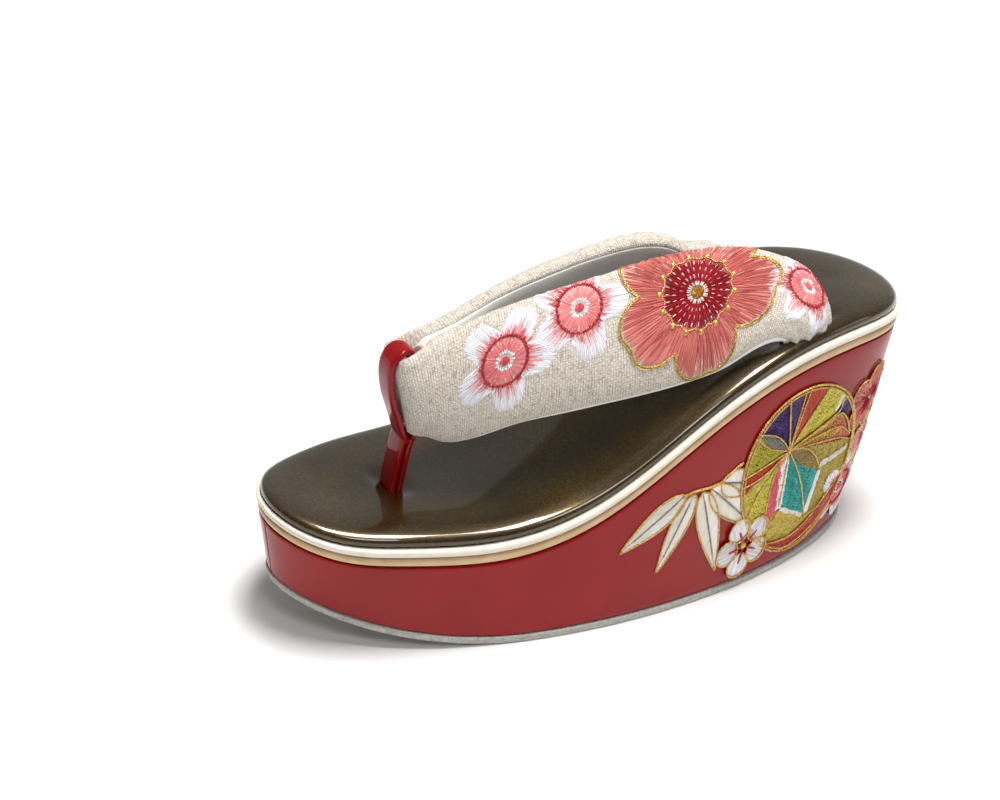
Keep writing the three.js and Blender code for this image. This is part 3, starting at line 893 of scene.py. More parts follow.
# %% [markdown]
# ## Front thong
# The band is a folded strip of red enamelled leather. It is a flat rounded section carried along
# the loop, whose two ends are bridged, and the stem below it is two such strips side by side.

# %% Front thong
BAND_TURNS = np.linspace(0, 2 * math.pi, 25)[:-1]


def carried(path, thickness, shift=0.0, closed=False):
    """Rings of a flat band along rows of (x, z, width); shift moves it towards its outer face."""
    run = (np.roll(path, -1, 0) - np.roll(path, 1, 0)) if closed else np.gradient(path, axis=0)
    run = run[:, :2] / np.linalg.norm(run[:, :2], axis=1, keepdims=True)
    rings = []
    for (x, z, wide), (dx, dz) in zip(path, run):
        off, aside = np.cos(BAND_TURNS), np.sin(BAND_TURNS)
        off = np.sign(off) * np.abs(off) ** 0.55 * thickness / 2 + shift
        aside = np.sign(aside) * np.abs(aside) ** 0.35 * wide / 2
        rings.append(np.stack([x + off * dz, aside, z - off * dx], -1))
    return rings


band_rings = carried(loop, BAND_THICKNESS, closed=True)
thong_loop = grow("thong_loop", band_rings, caps=(False, False))
bpy.context.view_layer.objects.active = thong_loop
bpy.ops.object.mode_set(mode="EDIT")
bpy.ops.mesh.select_all(action="DESELECT")
bpy.ops.mesh.select_non_manifold(extend=False)
bpy.ops.mesh.bridge_edge_loops()
bpy.ops.mesh.select_all(action="SELECT")
bpy.ops.mesh.normals_make_consistent(inside=False)
bpy.ops.object.mode_set(mode="OBJECT")
apply_modifier(thong_loop, "SUBSURF", levels=1, render_levels=1)
settle(thong_loop, "front_thong", "front_thong", red_enamel)

stem_curve = spline(range(len(STEM_PATH)), STEM_PATH)(np.linspace(0, len(STEM_PATH) - 1, 33))
STRIP_THICKNESS, STRIP_SHIFT = 2.4, 1.38
for title, shift in (("front", -STRIP_SHIFT), ("rear", STRIP_SHIFT)):
    strip = grow(f"thong_stem_{title}", carried(stem_curve, STRIP_THICKNESS, shift))
    settle(strip, "front_thong", "front_thong", red_enamel)

# %% [markdown]
# ## Drawing on curved cloth
# Embroidery is designed flat and worn curved. `lay_on` takes a grid of surface points with the
# millimetres that belong to its rows and columns, and gives a function that puts any flat point
# (s, t) on that surface, lifted off it by a given height. On the strap s runs from the fold to
# the heel and t runs from the middle of the outer face down to the lower edge. On the wedge s
# runs from the heel's middle forwards along the wall and t is the height over the ground.

# %% Laying a design on a surface
def lay_on(points, rows, columns, outward):
    """A function of (s, t, lift) on a grid of points; outward tells which side is out."""
    normal = np.cross(np.gradient(points, axis=0), np.gradient(points, axis=1))
    normal /= np.linalg.norm(normal, axis=-1, keepdims=True) + 1e-9
    normal *= np.sign((normal * outward).sum())

    def place(spots, lift=0.0):
        i = np.interp(spots[..., 0], rows, range(len(rows)))
        j = np.interp(spots[..., 1], columns, range(len(columns)))
        low_i = np.clip(i.astype(int), 0, len(rows) - 2)
        low_j = np.clip(j.astype(int), 0, len(columns) - 2)
        a, b = (i - low_i)[..., None], (j - low_j)[..., None]

        def blend(table):
            near = table[low_i, low_j] * (1 - b) + table[low_i, low_j + 1] * b
            far = table[low_i + 1, low_j] * (1 - b) + table[low_i + 1, low_j + 1] * b
            return near * (1 - a) + far * a

        return blend(points) + blend(normal) * np.asarray(lift)[..., None]

    return place


print("lay_on ready")

# %% [markdown]
# ## The two grounds
# On a pad the design's middle line follows the outer face, and each row of points is measured
# from that line to both sides. A thread spans the cloth's small creases, so the strap's table is
# evened a little along its length. The wall's table is ruled by angle and height.

# %% Grounds for the needlework
ASIDE = 40
WALL_START, WALL_END, DESIGN_HEIGHT = math.pi + 0.7, 0.9, 45


def strap_ground(grid):
    """Lays designs on a pad's outer face and over its edges."""
    body = grid[len(CAP_ANGLES):]
    facing = int(np.argmin(np.abs(AROUND - math.pi / 2)))
    middle = body[:, facing]
    along = np.concatenate([[0], np.cumsum(np.linalg.norm(np.diff(middle, axis=0), axis=1))])
    reach = (AROUND > -1.3) & (AROUND < math.pi + 0.9)
    face = body[:, reach]
    zero = facing - int(np.argmax(reach))
    aside = np.arange(-ASIDE, ASIDE + 1.0)
    table = np.empty((len(face), len(aside), 3))
    for i, line in enumerate(face):
        size = np.concatenate([[0], np.cumsum(np.linalg.norm(np.diff(line, axis=0), axis=1))])
        size -= size[zero]
        for axis in range(3):
            table[i, :, axis] = np.interp(aside, size, line[:, axis])
    outward = table[:, ASIDE:ASIDE + 1] - body.mean(1, keepdims=True)
    for _ in range(3):
        table[1:-1] = (table[:-2] + 2 * table[1:-1] + table[2:]) / 4
    return lay_on(table, along, aside, outward)


turns = np.linspace(WALL_START, WALL_END, 700)
wall_line = wall_below(turns, rim(turns)[:, 2] - DESIGN_HEIGHT)
forward = np.concatenate([[0], np.cumsum(np.linalg.norm(np.diff(wall_line, axis=0), axis=1))])
forward -= np.interp(WALL_START - math.pi, WALL_START - turns, forward)
heights = np.arange(3, 90.0)
wall_table = np.stack([wall_below(turns, rim(turns)[:, 2] - h) for h in heights], 1)
on_wall = lay_on(wall_table, forward, heights, wall_table - [0, 0, DESIGN_HEIGHT])
on_outer, on_inner = strap_ground(pads["outer"][1]), strap_ground(pads["inner"][1])
print("wall design runs", round(float(forward[-1])), "mm forward from the heel")

# %% [markdown]
# ## Thread
# Three kinds of thread do all the work: satin stitches in flat silk, twisted gold cords and round
# knots. A stitch is a low ridge that dives into the cloth at both ends. Real silk strands are
# 0.3 mm wide; most are drawn at about 0.5 mm, the finest that shows. Each stitch carries one
# number, its shade, and the silk materials turn it into a small difference in colour.

# %% Satin stitches
# Places along a stitch, and how wide and high it is there.
SPAN = np.array([0, 0.12, 0.5, 0.88, 1])
SWELL = np.array([0.1, 0.85, 1, 0.85, 0.1])
SUNK = 0.04
dice = np.random.default_rng(11)


def laid(ground, starts, ends, width=0.5, lift=0.35, base=0.0):
    """Satin stitches from starts to ends: (points, faces, shade of each point)."""
    starts, ends = np.atleast_2d(starts), np.atleast_2d(ends)
    count, rows = len(starts), len(SPAN)
    line = starts[:, None] + (ends - starts)[:, None] * SPAN[None, :, None]
    run = (ends - starts) / (np.linalg.norm(ends - starts, axis=1, keepdims=True) + 1e-6)
    side = np.stack([-run[:, 1], run[:, 0]], -1)[:, None]
    half = (SWELL * width / 2)[None, :, None]
    height = SWELL * lift * dice.uniform(0.8, 1.15, (count, 1))
    left = ground(line - side * half, base + height * 0.1 - SUNK)
    ridge = ground(line, base + height)
    right = ground(line + side * half, base + height * 0.1 - SUNK)
    points = np.stack([left, ridge, right], 2).reshape(-1, 3)
    block = np.arange(count)[:, None, None] * rows * 3
    step = np.arange(rows - 1)[None, :, None] * 3
    a = np.arange(3)[None, None]
    b = (a + 1) % 3
    faces = np.stack([block + step + a, block + step + b, block + step + 3 + b,
                      block + step + 3 + a], -1).reshape(-1, 4)
    return points, faces, np.repeat(dice.uniform(0, 1, count), rows * 3)


print("a stitch has", (len(SPAN) - 1) * 3, "faces")

# %% [markdown]
# ## Couched cords
# A gold cord is too stiff to be sewn through the cloth, so it is laid on top and held down by
# tiny stitches. It is two strands twisted round each other, and each strand is a thin tube.

# %% Couched cords
TWIST_MM, CORD_STEP_MM = 1.9, 0.4
PLY_OFFSET, PLY_RADIUS, PLY_SIDES = 0.42, 0.62, 5


def couched(ground, path, radius=0.42, closed=True, lift=0.3):
    """A two-ply twisted cord along a flat path."""
    path = np.array(path, float)
    if closed:
        path = np.concatenate([path, path[:1]])
    size = np.concatenate([[0], np.cumsum(np.linalg.norm(np.diff(path, axis=0), axis=1))])
    count = max(int(size[-1] / CORD_STEP_MM), 8)
    where = np.linspace(0, size[-1], count)
    spots = np.stack([np.interp(where, size, path[:, k]) for k in (0, 1)], -1)
    run = np.gradient(spots, axis=0)
    run /= np.linalg.norm(run, axis=1, keepdims=True) + 1e-9
    side = np.stack([-run[:, 1], run[:, 0]], -1)
    chunks = []
    ring = np.linspace(0, 2 * math.pi, PLY_SIDES + 1)[:-1]
    for ply in (0, math.pi):
        twist = where / TWIST_MM * 2 * math.pi + ply
        offset, tube = PLY_OFFSET * radius, PLY_RADIUS * radius
        across = offset * np.cos(twist)[:, None] + tube * np.cos(ring)[None]
        height = lift + offset * np.sin(twist)[:, None] + tube * np.sin(ring)[None]
        points = ground(spots[:, None] + side[:, None] * across[..., None], height)
        shade = np.full(count * PLY_SIDES, 0.5)
        chunks.append((points.reshape(-1, 3), tube_faces(count, PLY_SIDES), shade))
    return together(chunks)


def tube_faces(rows, sides):
    """Four-sided faces between rows of points round a tube."""
    a = np.arange(sides)[None]
    b = (a + 1) % sides
    row = np.arange(rows - 1)[:, None] * sides
    return np.stack([row + a, row + b, row + sides + b, row + sides + a], -1).reshape(-1, 4)


def together(chunks):
    """Joins (points, faces, shades) of several parts into one."""
    start, faces = 0, []
    for points, part, _ in chunks:
        faces.append(part + start)
        start += len(points)
    all_points, shades = (np.concatenate([chunk[k] for chunk in chunks]) for k in (0, 2))
    return all_points, np.concatenate(faces), shades


print("a cord has", round(1 / CORD_STEP_MM * PLY_SIDES * 2), "faces a millimetre")

# %% [markdown]
# ## Knots
# A knot is thread wound round the needle and pulled tight, a low round bead. It is drawn by four
# rings of points, from a single point on top down to a ring that is sunk into the cloth.

# %% Knots
# Rows of (height, radius) as shares of the knot's size, from the top down.
KNOT_RINGS = ((1.0, 0.0), (0.75, 0.75), (0.25, 1.0), (-0.2, 0.9))
KNOT_SIDES, KNOT_REST = 7, 0.25


def knots(ground, spots, radius=0.9):
    """Round knots: low beads on flat spots."""
    angle = np.linspace(0, 2 * math.pi, KNOT_SIDES + 1)[:-1]
    round_it = np.stack([np.cos(angle), np.sin(angle)], -1)
    chunks = []
    for spot in np.atleast_2d(spots):
        points = [ground(spot + radius * wide * round_it,
                         np.full(KNOT_SIDES, KNOT_REST + radius * 0.8 * high))
                  for high, wide in KNOT_RINGS]
        shade = np.full(KNOT_SIDES * len(KNOT_RINGS), dice.uniform())
        chunks.append((np.concatenate(points), tube_faces(len(KNOT_RINGS), KNOT_SIDES), shade))
    return together(chunks)


print("a knot has", (len(KNOT_RINGS) - 1) * KNOT_SIDES, "faces")

# %% [markdown]
# ## Sewing
# A motif is a list of pairs, a thread and its stitches, in the order in which they are sewn.
# Thousands of stitches would be slow as separate primitives, so each motif becomes one mesh from
# lists of points and faces. Its doubles are then merged and its faces turned outwards.

# %% Sewing
SEWN_WELD_MM, THREAD_SMOOTH_DEGREES = 0.001, 80


def sew(name, slot, *work):
    """One mesh from pairs of a thread and its stitches, in sewing order."""
    points, faces, shades = together([stitches for _, stitches in work])
    mesh = bpy.data.meshes.new(name)
    mesh.from_pydata((points * MM).tolist(), [], faces.tolist())
    threads = list(dict.fromkeys(thread for thread, _ in work))
    index = np.concatenate([np.full(len(stitches[1]), threads.index(thread))
                            for thread, stitches in work])
    mesh.polygons.foreach_set("material_index", index.astype(np.int32))
    mesh.attributes.new("shade", "FLOAT", "POINT").data.foreach_set("value", shades)
    piece = bpy.data.objects.new(name, mesh)
    bpy.context.scene.collection.objects.link(piece)
    bpy.ops.object.select_all(action="DESELECT")
    piece.select_set(True)
    bpy.context.view_layer.objects.active = piece
    bpy.ops.object.mode_set(mode="EDIT")
    bpy.ops.mesh.select_all(action="SELECT")
    bpy.ops.mesh.remove_doubles(threshold=SEWN_WELD_MM * MM)
    bpy.ops.mesh.normals_make_consistent(inside=False)
    bpy.ops.object.mode_set(mode="OBJECT")
    bpy.ops.object.shade_smooth_by_angle(angle=math.radians(THREAD_SMOOTH_DEGREES))
    settle(piece, None, slot, *threads)


print("ready to sew")

# %% [markdown]
# ## Silk and gold
# Filament silk is smooth and shines softly. It takes a medium roughness and a little sheen, and
# the shade of each stitch picks its colour between two dyes. Gold thread is a foil wound on a
# core, so it is metallic, but broken up at every turn of the foil.

# %% Thread materials
def silk(name, dark, light):
    """Silk floss whose stitches vary from a darker to a lighter dye."""
    material, tree, shader = finish(f"{name}_silk_floss", Roughness=0.42, Sheen_Weight=0.15,
                                    Sheen_Roughness=0.35, Specular_IOR_Level=0.5)
    shade = add(tree, "ShaderNodeAttribute", {"attribute_name": "shade"}).outputs["Fac"]
    tree.links.new(ramp(tree, shade, (0, dark), (1, light)), shader.inputs["Base Color"])
    return material


FOIL_TURN_MM = 0.7


def foil(name, dark, light, rough=0.33, metal=0.85):
    """Metal foil wound on a thread."""
    material, tree, shader = finish(f"{name}_foil_thread", Roughness=rough, Metallic=metal)
    where = add(tree, "ShaderNodeTexCoord").outputs["Object"]
    turn = grain(tree, where, FOIL_TURN_MM, 2)
    tree.links.new(ramp(tree, turn, (0.35, dark), (0.65, light)), shader.inputs["Base Color"])
    bump = add(tree, "ShaderNodeBump", Height=turn, Strength=0.8, Distance=0.2 * MM)
    tree.links.new(bump.outputs["Normal"], shader.inputs["Normal"])
    return material


DYES = {
    "white": ("#dcdbe4", "#fdfcfb"), "lavender": ("#cdcdda", "#e8e7ef"),
    "rose": ("#d9777a", "#eda39f"), "salmon": ("#d4676b", "#e98d8b"),
    "deep_red": ("#97101f", "#b92634"), "coral": ("#bd5854", "#e8988c"),
    "crimson": ("#8d0a1c", "#b01229"), "purple": ("#2f1456", "#452575"),
    "teal": ("#0f8a86", "#2db5aa"), "pink_red": ("#cf4658", "#e2707a"),
    "vermilion": ("#b02a20", "#cf4a2c"), "grey": ("#77756f", "#93918a"),
    "cream": ("#e7e2d4", "#f6f2e8"), "ivory": ("#f0ece2", "#fdfbf6"),
    "brown": ("#8e7440", "#a98d55"), "blush": ("#e9a7a2", "#f4c5bf"),
}
SILK = {name: silk(name, *dyes) for name, dyes in DYES.items()}
GOLD = foil("gold", "#b58737", "#f0d085", 0.36, 0.7)
LIME_GOLD = foil("green_gold", "#a39b2c", "#e0d661", 0.45, 0.45)
OLD_GOLD = foil("old_gold", "#b39c42", "#dcca6c", 0.45, 0.45)
print(len(SILK), "silks and 3 foils")

# %% [markdown]
# ## Blossoms on the strap
# A small blossom has five petals in long-and-short stitch, white and lavender at the tips and
# feathered with rose round a deep-red ring. Inside the ring are salmon stitches, a white ring
# and a rose dot. The stitches run out from the middle, with random ends where two colours mix.
# A petal's own stitches draw together towards its tip, so a notch opens between two petals.

# %% Rays and petals
PETALS = 5
SHORTEST, DRAWN_IN = 0.6, 0.8


def polar(middle, radius, angle):
    """Flat points round a middle."""
    return np.array(middle) + np.stack([radius * np.cos(angle), radius * np.sin(angle)], -1)


def across_spot(middle, radius, reach):
    """Where seven parallel stitches start and end that fill a round spot."""
    aside = np.linspace(-reach, reach, 7)
    half = np.sqrt(radius ** 2 - aside ** 2)
    return [np.array(middle) + np.stack([aside, hand * half], -1) for hand in (-1, 1)]


def rays(ground, middle, inner, outer, count, width, lift, base=0.0, sway=0.06):
    """Stitches from an inner to an outer radius, either of them a function of the angle."""
    angle = (np.arange(count) + dice.uniform(-0.3, 0.3, count)) * 2 * math.pi / count
    start, end = (edge(angle) if callable(edge) else np.full(count, edge) for edge in (inner, outer))
    aimed = angle + dice.uniform(-sway, sway, count)
    return laid(ground, polar(middle, start, angle), polar(middle, end, aimed), width, lift, base)


def petals(ground, middle, size, phase, low, high, count, width, lift, flank=0.4):
    """Stitches of five petals. low and high are ranges of the radius, and flank is the drop of
    the outer ends beside a petal's axis. The ends draw together, so a notch opens between petals."""
    total, half = PETALS * count, math.pi / PETALS
    axis = np.repeat(phase + np.arange(PETALS) * 2 * half, count)
    aside = np.tile(np.linspace(-1, 1, count), PETALS) + dice.uniform(-0.03, 0.03, total)
    inner = size * dice.uniform(*low, total)
    outer = size * dice.uniform(*high, total) * (1 - flank * np.abs(aside) ** 2.4)
    return laid(ground, polar(middle, np.minimum(inner, outer - SHORTEST), axis + aside * half),
                polar(middle, outer, axis + aside * half * DRAWN_IN), width, lift)


print("petals:", PETALS, "each over", round(360 / PETALS), "degrees")

# %% [markdown]
# The blossom is sewn from the outside in: pale tips, blush and rose feathering, the salmon and
# rose middle, the ring as short slanting stitches over all their ends, and the dot last. Widths
# and radii are shares of the blossom's radius, so that one function makes every size.

# %% Small blossoms
def blossom(ground, middle, size, phase):
    """The work of one small blossom of a radius size."""
    ragged = lambda low, high: (lambda angle: dice.uniform(low, high, len(angle)) * size)
    ring = size * 0.44
    turn = np.linspace(0, 2 * math.pi, 31)[:-1]
    dot = across_spot(middle, size * 0.09, size * 0.0765)
    flower = (ground, middle, size, phase)
    return [
        (SILK["lavender"], petals(*flower, (0.4, 0.42), (0.97, 1.0), 24, size * 0.056, 0.2)),
        (SILK["white"], petals(*flower, (0.42, 0.6), (0.9, 1.02), 30, size * 0.036, 0.33)),
        (SILK["blush"], petals(*flower, (0.4, 0.45), (0.6, 0.82), 14, size * 0.026, 0.36, 0.5)),
        (SILK["rose"], petals(*flower, (0.4, 0.45), (0.58, 0.84), 24, size * 0.026, 0.38, 0.36)),
        (SILK["salmon"], rays(ground, middle, ragged(0.4, 0.44), ragged(0.5, 0.6), 90, size * 0.026,
                              0.4, sway=0.1)),
        (SILK["salmon"], rays(ground, middle, ragged(0.14, 0.2), size * 0.43, 74, size * 0.042, 0.26,
                              0.0, 0.05)),
        (SILK["rose"], rays(ground, middle, ragged(0.18, 0.24), ragged(0.28, 0.4), 56, size * 0.024,
                            0.3, sway=0.12)),
        (SILK["deep_red"], laid(ground, polar(middle, ring * 0.97, turn),
                                polar(middle, ring * 1.03, turn + 0.27), size * 0.055, 0.5, 0.12)),
        (SILK["deep_red"], rays(ground, middle, ragged(0.38, 0.42), ragged(0.45, 0.52), 46,
                                size * 0.022, 0.5, 0.1, 0.08)),
        (SILK["white"], rays(ground, middle, size * 0.13, ragged(0.17, 0.21), 17, size * 0.036,
                             0.45, 0.1)),
        (SILK["pink_red"], laid(ground, *dot, size * 0.035, 0.5, 0.1)),
    ]


# Columns: ground, middle (s, t), radius, turn of the first petal in degrees.
SMALL_BLOSSOMS = ((on_outer, (30, -4.5), 18.5, 12), (on_outer, (57, -14), 19, 4),
                  (on_outer, (139, -6), 16, 30), (on_inner, (52, -3), 11, 10),
                  (on_inner, (76, -5), 14.5, 40), (on_inner, (98, -9), 10, 5))
for number, (ground, middle, size, phase) in enumerate(SMALL_BLOSSOMS, 1):
    sew(f"small_blossom_{number}", "strap", *blossom(ground, middle, size, math.radians(phase)))

# %% [markdown]
# ## The large blossom
# Its five coral petals are edged with a double row of couched gold. In the middle a scalloped
# crimson disc carries rays of white dashes, with gold knots round it and a gold button. First
# come the outlines, each as a radius that depends on the angle.

# %% Outlines of the large blossom
BIG_MIDDLE, BIG_SIZE, BIG_PHASE = (99.5, -7), 29.4, math.radians(12)
DISC = 12.3


def big_edge(angle):
    """Broad petals with a shallow dip in the middle of each."""
    part = (angle - BIG_PHASE) * PETALS / (2 * math.pi)
    offset = np.abs(2 * (part - np.round(part)))
    return BIG_SIZE * (1 - 0.33 * offset ** 3 - 0.055 * np.exp(-(offset / 0.2) ** 2))


def scallops(angle):
    """The crimson disc's edge, with fourteen lobes."""
    return DISC * (0.93 + 0.07 * np.abs(np.sin(7 * angle)))


def share_of(edge, low, high=None):
    """A ragged line at a share of an edge."""
    return lambda angle: edge(angle) * dice.uniform(low, high or low, len(angle))


circle = np.linspace(0, 2 * math.pi, 361)[:-1]
radii = big_edge(circle)
print("the large blossom's radius:", radii.min().round(1), "to", radii.max().round(1))

# %% [markdown]
# The petals are filled in layers. Wide rose rays close the ground, and three layers of coral
# rays with ragged ends lie over them, so that it looks sewn and not painted. The disc, its
# dashes, knots, button and cords follow, each a little higher than what it covers.

# %% Large blossom
outline = polar(BIG_MIDDLE, big_edge(circle) + 0.2, circle)
second_row = polar(BIG_MIDDLE, big_edge(circle) + 1.1, circle)
knot_angles = np.arange(14) * math.pi / 7 + math.pi / 14
dash_angles = np.arange(26) * 2 * math.pi / 26
white_dashes = [laid(on_outer, polar(BIG_MIDDLE, r, dash_angles + 0.02 * r),
                     polar(BIG_MIDDLE, r + 1.5, dash_angles + 0.02 * r + 0.02), 0.5, 0.4, 0.4)
                for r in (4.9, 7.4, 9.8)]
sew("large_blossom", "strap",
    (SILK["rose"], rays(on_outer, BIG_MIDDLE, share_of(scallops, 0.9), share_of(big_edge, 1.0),
                        230, 1.4, 0.16, 0.0, 0.01)),
    (SILK["coral"], rays(on_outer, BIG_MIDDLE, share_of(scallops, 0.9),
                         share_of(big_edge, 0.62, 0.8), 190, 0.62, 0.4, 0.1, 0.02)),
    (SILK["coral"], rays(on_outer, BIG_MIDDLE, share_of(big_edge, 0.5, 0.7),
                         share_of(big_edge, 0.99), 250, 0.68, 0.42, 0.1, 0.015)),
    (SILK["coral"], rays(on_outer, BIG_MIDDLE, share_of(big_edge, 0.45, 0.6),
                         share_of(big_edge, 0.7, 0.95), 120, 0.5, 0.42, 0.32, 0.02)),
    (SILK["salmon"], rays(on_outer, BIG_MIDDLE, share_of(scallops, 1), share_of(scallops, 1.1, 1.35),
                          110, 0.5, 0.4, 0.34, 0.03)),
    (SILK["crimson"], rays(on_outer, BIG_MIDDLE, 2.4, scallops, 120, 0.62, 0.45, 0.3, 0.01)),
    (SILK["deep_red"], rays(on_outer, BIG_MIDDLE, share_of(scallops, 0.25, 0.5),
                            share_of(scallops, 0.7, 0.97), 50, 0.5, 0.45, 0.42, 0.02)),
    (SILK["white"], together(white_dashes)),
    (SILK["cream"], rays(on_outer, BIG_MIDDLE, 2.2, 3.9, 26, 0.55, 0.6, 0.5)),
    (GOLD, laid(on_outer, *across_spot(BIG_MIDDLE, 2.3, 1.8), 0.62, 0.8, 0.5)),
    (GOLD, knots(on_outer, polar(BIG_MIDDLE, DISC * 1.08, knot_angles), 1.1)),
    (GOLD, couched(on_outer, polar(BIG_MIDDLE, scallops(circle) + 0.2, circle), 0.3, lift=0.6)),
    (GOLD, couched(on_outer, outline, 0.36)),
    (GOLD, couched(on_outer, second_row, 0.34)))

# %% [markdown]
# ## Filling a shape with satin stitch
# A shape on the wedge is a short list of corners in millimetres. Parallel stitch lines cross it
# at the thread's pitch, and a long line is broken into stitches of a few millimetres, staggered
# like bricks so that no seam shows.

# %% Satin fill
SCAN_MM = 0.15


def inside(spots, corners):
    """Which flat points are inside a polygon."""
    hit = np.zeros(spots.shape[:-1], bool)
    x, y = spots[..., 0], spots[..., 1]
    for (x0, y0), (x1, y1) in zip(corners, np.roll(corners, -1, 0)):
        if y0 != y1:
            hit ^= ((y0 > y) != (y1 > y)) & (x < (x1 - x0) * (y - y0) / (y1 - y0) + x0)
    return hit


def filled(ground, corners, slant, pitch=0.5, longest=5.5, within=None, lift=0.32, base=0.0):
    """Satin stitches over a polygon, at a slant in degrees."""
    corners = np.array(corners, float)
    c, s = math.cos(math.radians(slant)), math.sin(math.radians(slant))
    back = np.array([[c, s], [-s, c]])
    turned = corners @ back.T
    low, high = turned.min(0), turned.max(0)
    starts, ends = [], []
    for k, y in enumerate(np.arange(low[1] + pitch / 2, high[1], pitch)):
        x = np.arange(low[0] - 0.3, high[0] + 0.3, SCAN_MM)
        spots = np.stack([x, np.full(len(x), y)], -1) @ back
        hit = inside(spots, corners)
        if within is not None:
            hit &= within(spots)
        edges = np.flatnonzero(np.diff(np.concatenate([[0], hit.astype(int), [0]])))
        for first, last in zip(edges[::2], edges[1::2] - 1):
            if last - first < SHORTEST / SCAN_MM:
                continue
            parts = max(1, round((x[last] - x[first]) / longest))
            cuts = np.linspace(x[first], x[last], parts + 1)
            cuts[1:-1] += (dice.uniform(-0.3, 0.3, parts - 1) + (k % 2 - 0.5) * 0.5) * longest / 2
            for a, b in zip(cuts[:-1], cuts[1:]):
                starts.append((a, y))
                ends.append((b, y))
    return laid(ground, np.array(starts) @ back, np.array(ends) @ back, pitch * 1.25, lift, base)


square = filled(on_wall, ((60, 30), (70, 30), (70, 40), (60, 40)), 30)
print("a 10 mm square takes", len(square[0]) // (len(SPAN) * 3), "stitches")

# %% [markdown]
# ## Bamboo
# White leaves hang from a short gold stem on the outer side of the wedge. Each leaf is two rows
# of slanting stitches that meet at a grey midrib, inside a couched gold outline.

# %% Bamboo leaves
def leaf(base, tip, width):
    """The work of one leaf: two filled halves, a midrib and an outline."""
    base, tip = np.array(base, float), np.array(tip, float)
    length = np.linalg.norm(tip - base)
    ahead = (tip - base) / length
    side = np.array([-ahead[1], ahead[0]])
    share = np.linspace(0, 1, 25)
    belly = width / 2 * np.sin(math.pi * share ** 0.72) ** 0.8 * (1 - 0.25 * share)
    spine = base + share[:, None] * ahead * length
    heading = math.degrees(math.atan2(ahead[1], ahead[0]))
    work = []
    for hand, angle, tone in ((1, 38, "cream"), (-1, -38, "ivory")):
        border = spine + hand * belly[:, None] * side
        work.append((SILK[tone], filled(on_wall, np.concatenate([spine, border[::-1]]),
                                        heading + hand * angle, 0.5, 8)))
    rib = base + np.linspace(0.12, 0.8, 15)[:, None] * ahead * length
    work.append((SILK["grey"], laid(on_wall, rib[:-1], rib[1:], 0.6, 0.35, 0.2)))
    border = np.concatenate([spine + belly[:, None] * side, (spine - belly[:, None] * side)[::-1]])
    work.append((GOLD, couched(on_wall, border, 0.38)))
    return work


# Columns: base (s, t), tip, width.
LEAVES = (((99, 46.5), (78, 40), 12), ((103, 45.5), (80, 24), 11.5), ((106.5, 45), (94.5, 10.5), 10),
          ((113.5, 45.5), (137, 28.3), 10), ((110, 45), (121, 17), 8.5))
stem = ((115, 45), (110, 46.2), (104.5, 46), (99, 46.6), (95, 49.5), (91, 52))
bamboo = [stitch for row in LEAVES for stitch in leaf(*row)]
bamboo.append((GOLD, couched(on_wall, stem, 0.6, closed=False)))
sew("bamboo_leaves", "wedge", *bamboo)

# %% [markdown]
# ## Thread ball
# A temari is a ball wound with coloured thread, and here it is drawn flat: wedges of silk and
# foil thread run out from one pole. The ball's outline is an oval with a tilt, and one function
# tells which flat points are inside it.

# %% The ball's outline
BALL = {"middle": (60.3, 40.0), "long": 35.0, "short": 27.6, "tilt": math.radians(63)}
POLE = (70, 50.5)


def in_ball(spots, grow_by=0.0):
    """Which flat points are inside the ball's oval outline, grown by some millimetres."""
    offset = spots - np.array(BALL["middle"])
    c, s = math.cos(BALL["tilt"]), math.sin(BALL["tilt"])
    along, aside = offset[..., 0] * c + offset[..., 1] * s, offset[..., 1] * c - offset[..., 0] * s
    return (along / (BALL["long"] + grow_by)) ** 2 + (aside / (BALL["short"] + grow_by)) ** 2 < 1


def ball_edge(grow_by):
    """The oval outline, grown by some millimetres."""
    along = (BALL["long"] + grow_by) * np.cos(circle)
    aside = (BALL["short"] + grow_by) * np.sin(circle)
    c, s = math.cos(BALL["tilt"]), math.sin(BALL["tilt"])
    return np.array(BALL["middle"]) + np.stack([along * c - aside * s, along * s + aside * c], -1)


print("the pole is inside the ball:", bool(in_ball(np.array(POLE))))

# %% [markdown]
# Each field is a short polygon that may pass the ball's edge, because the fill stops at the
# outline. Most fields start at the pole. Gold cords cover the joints between them.

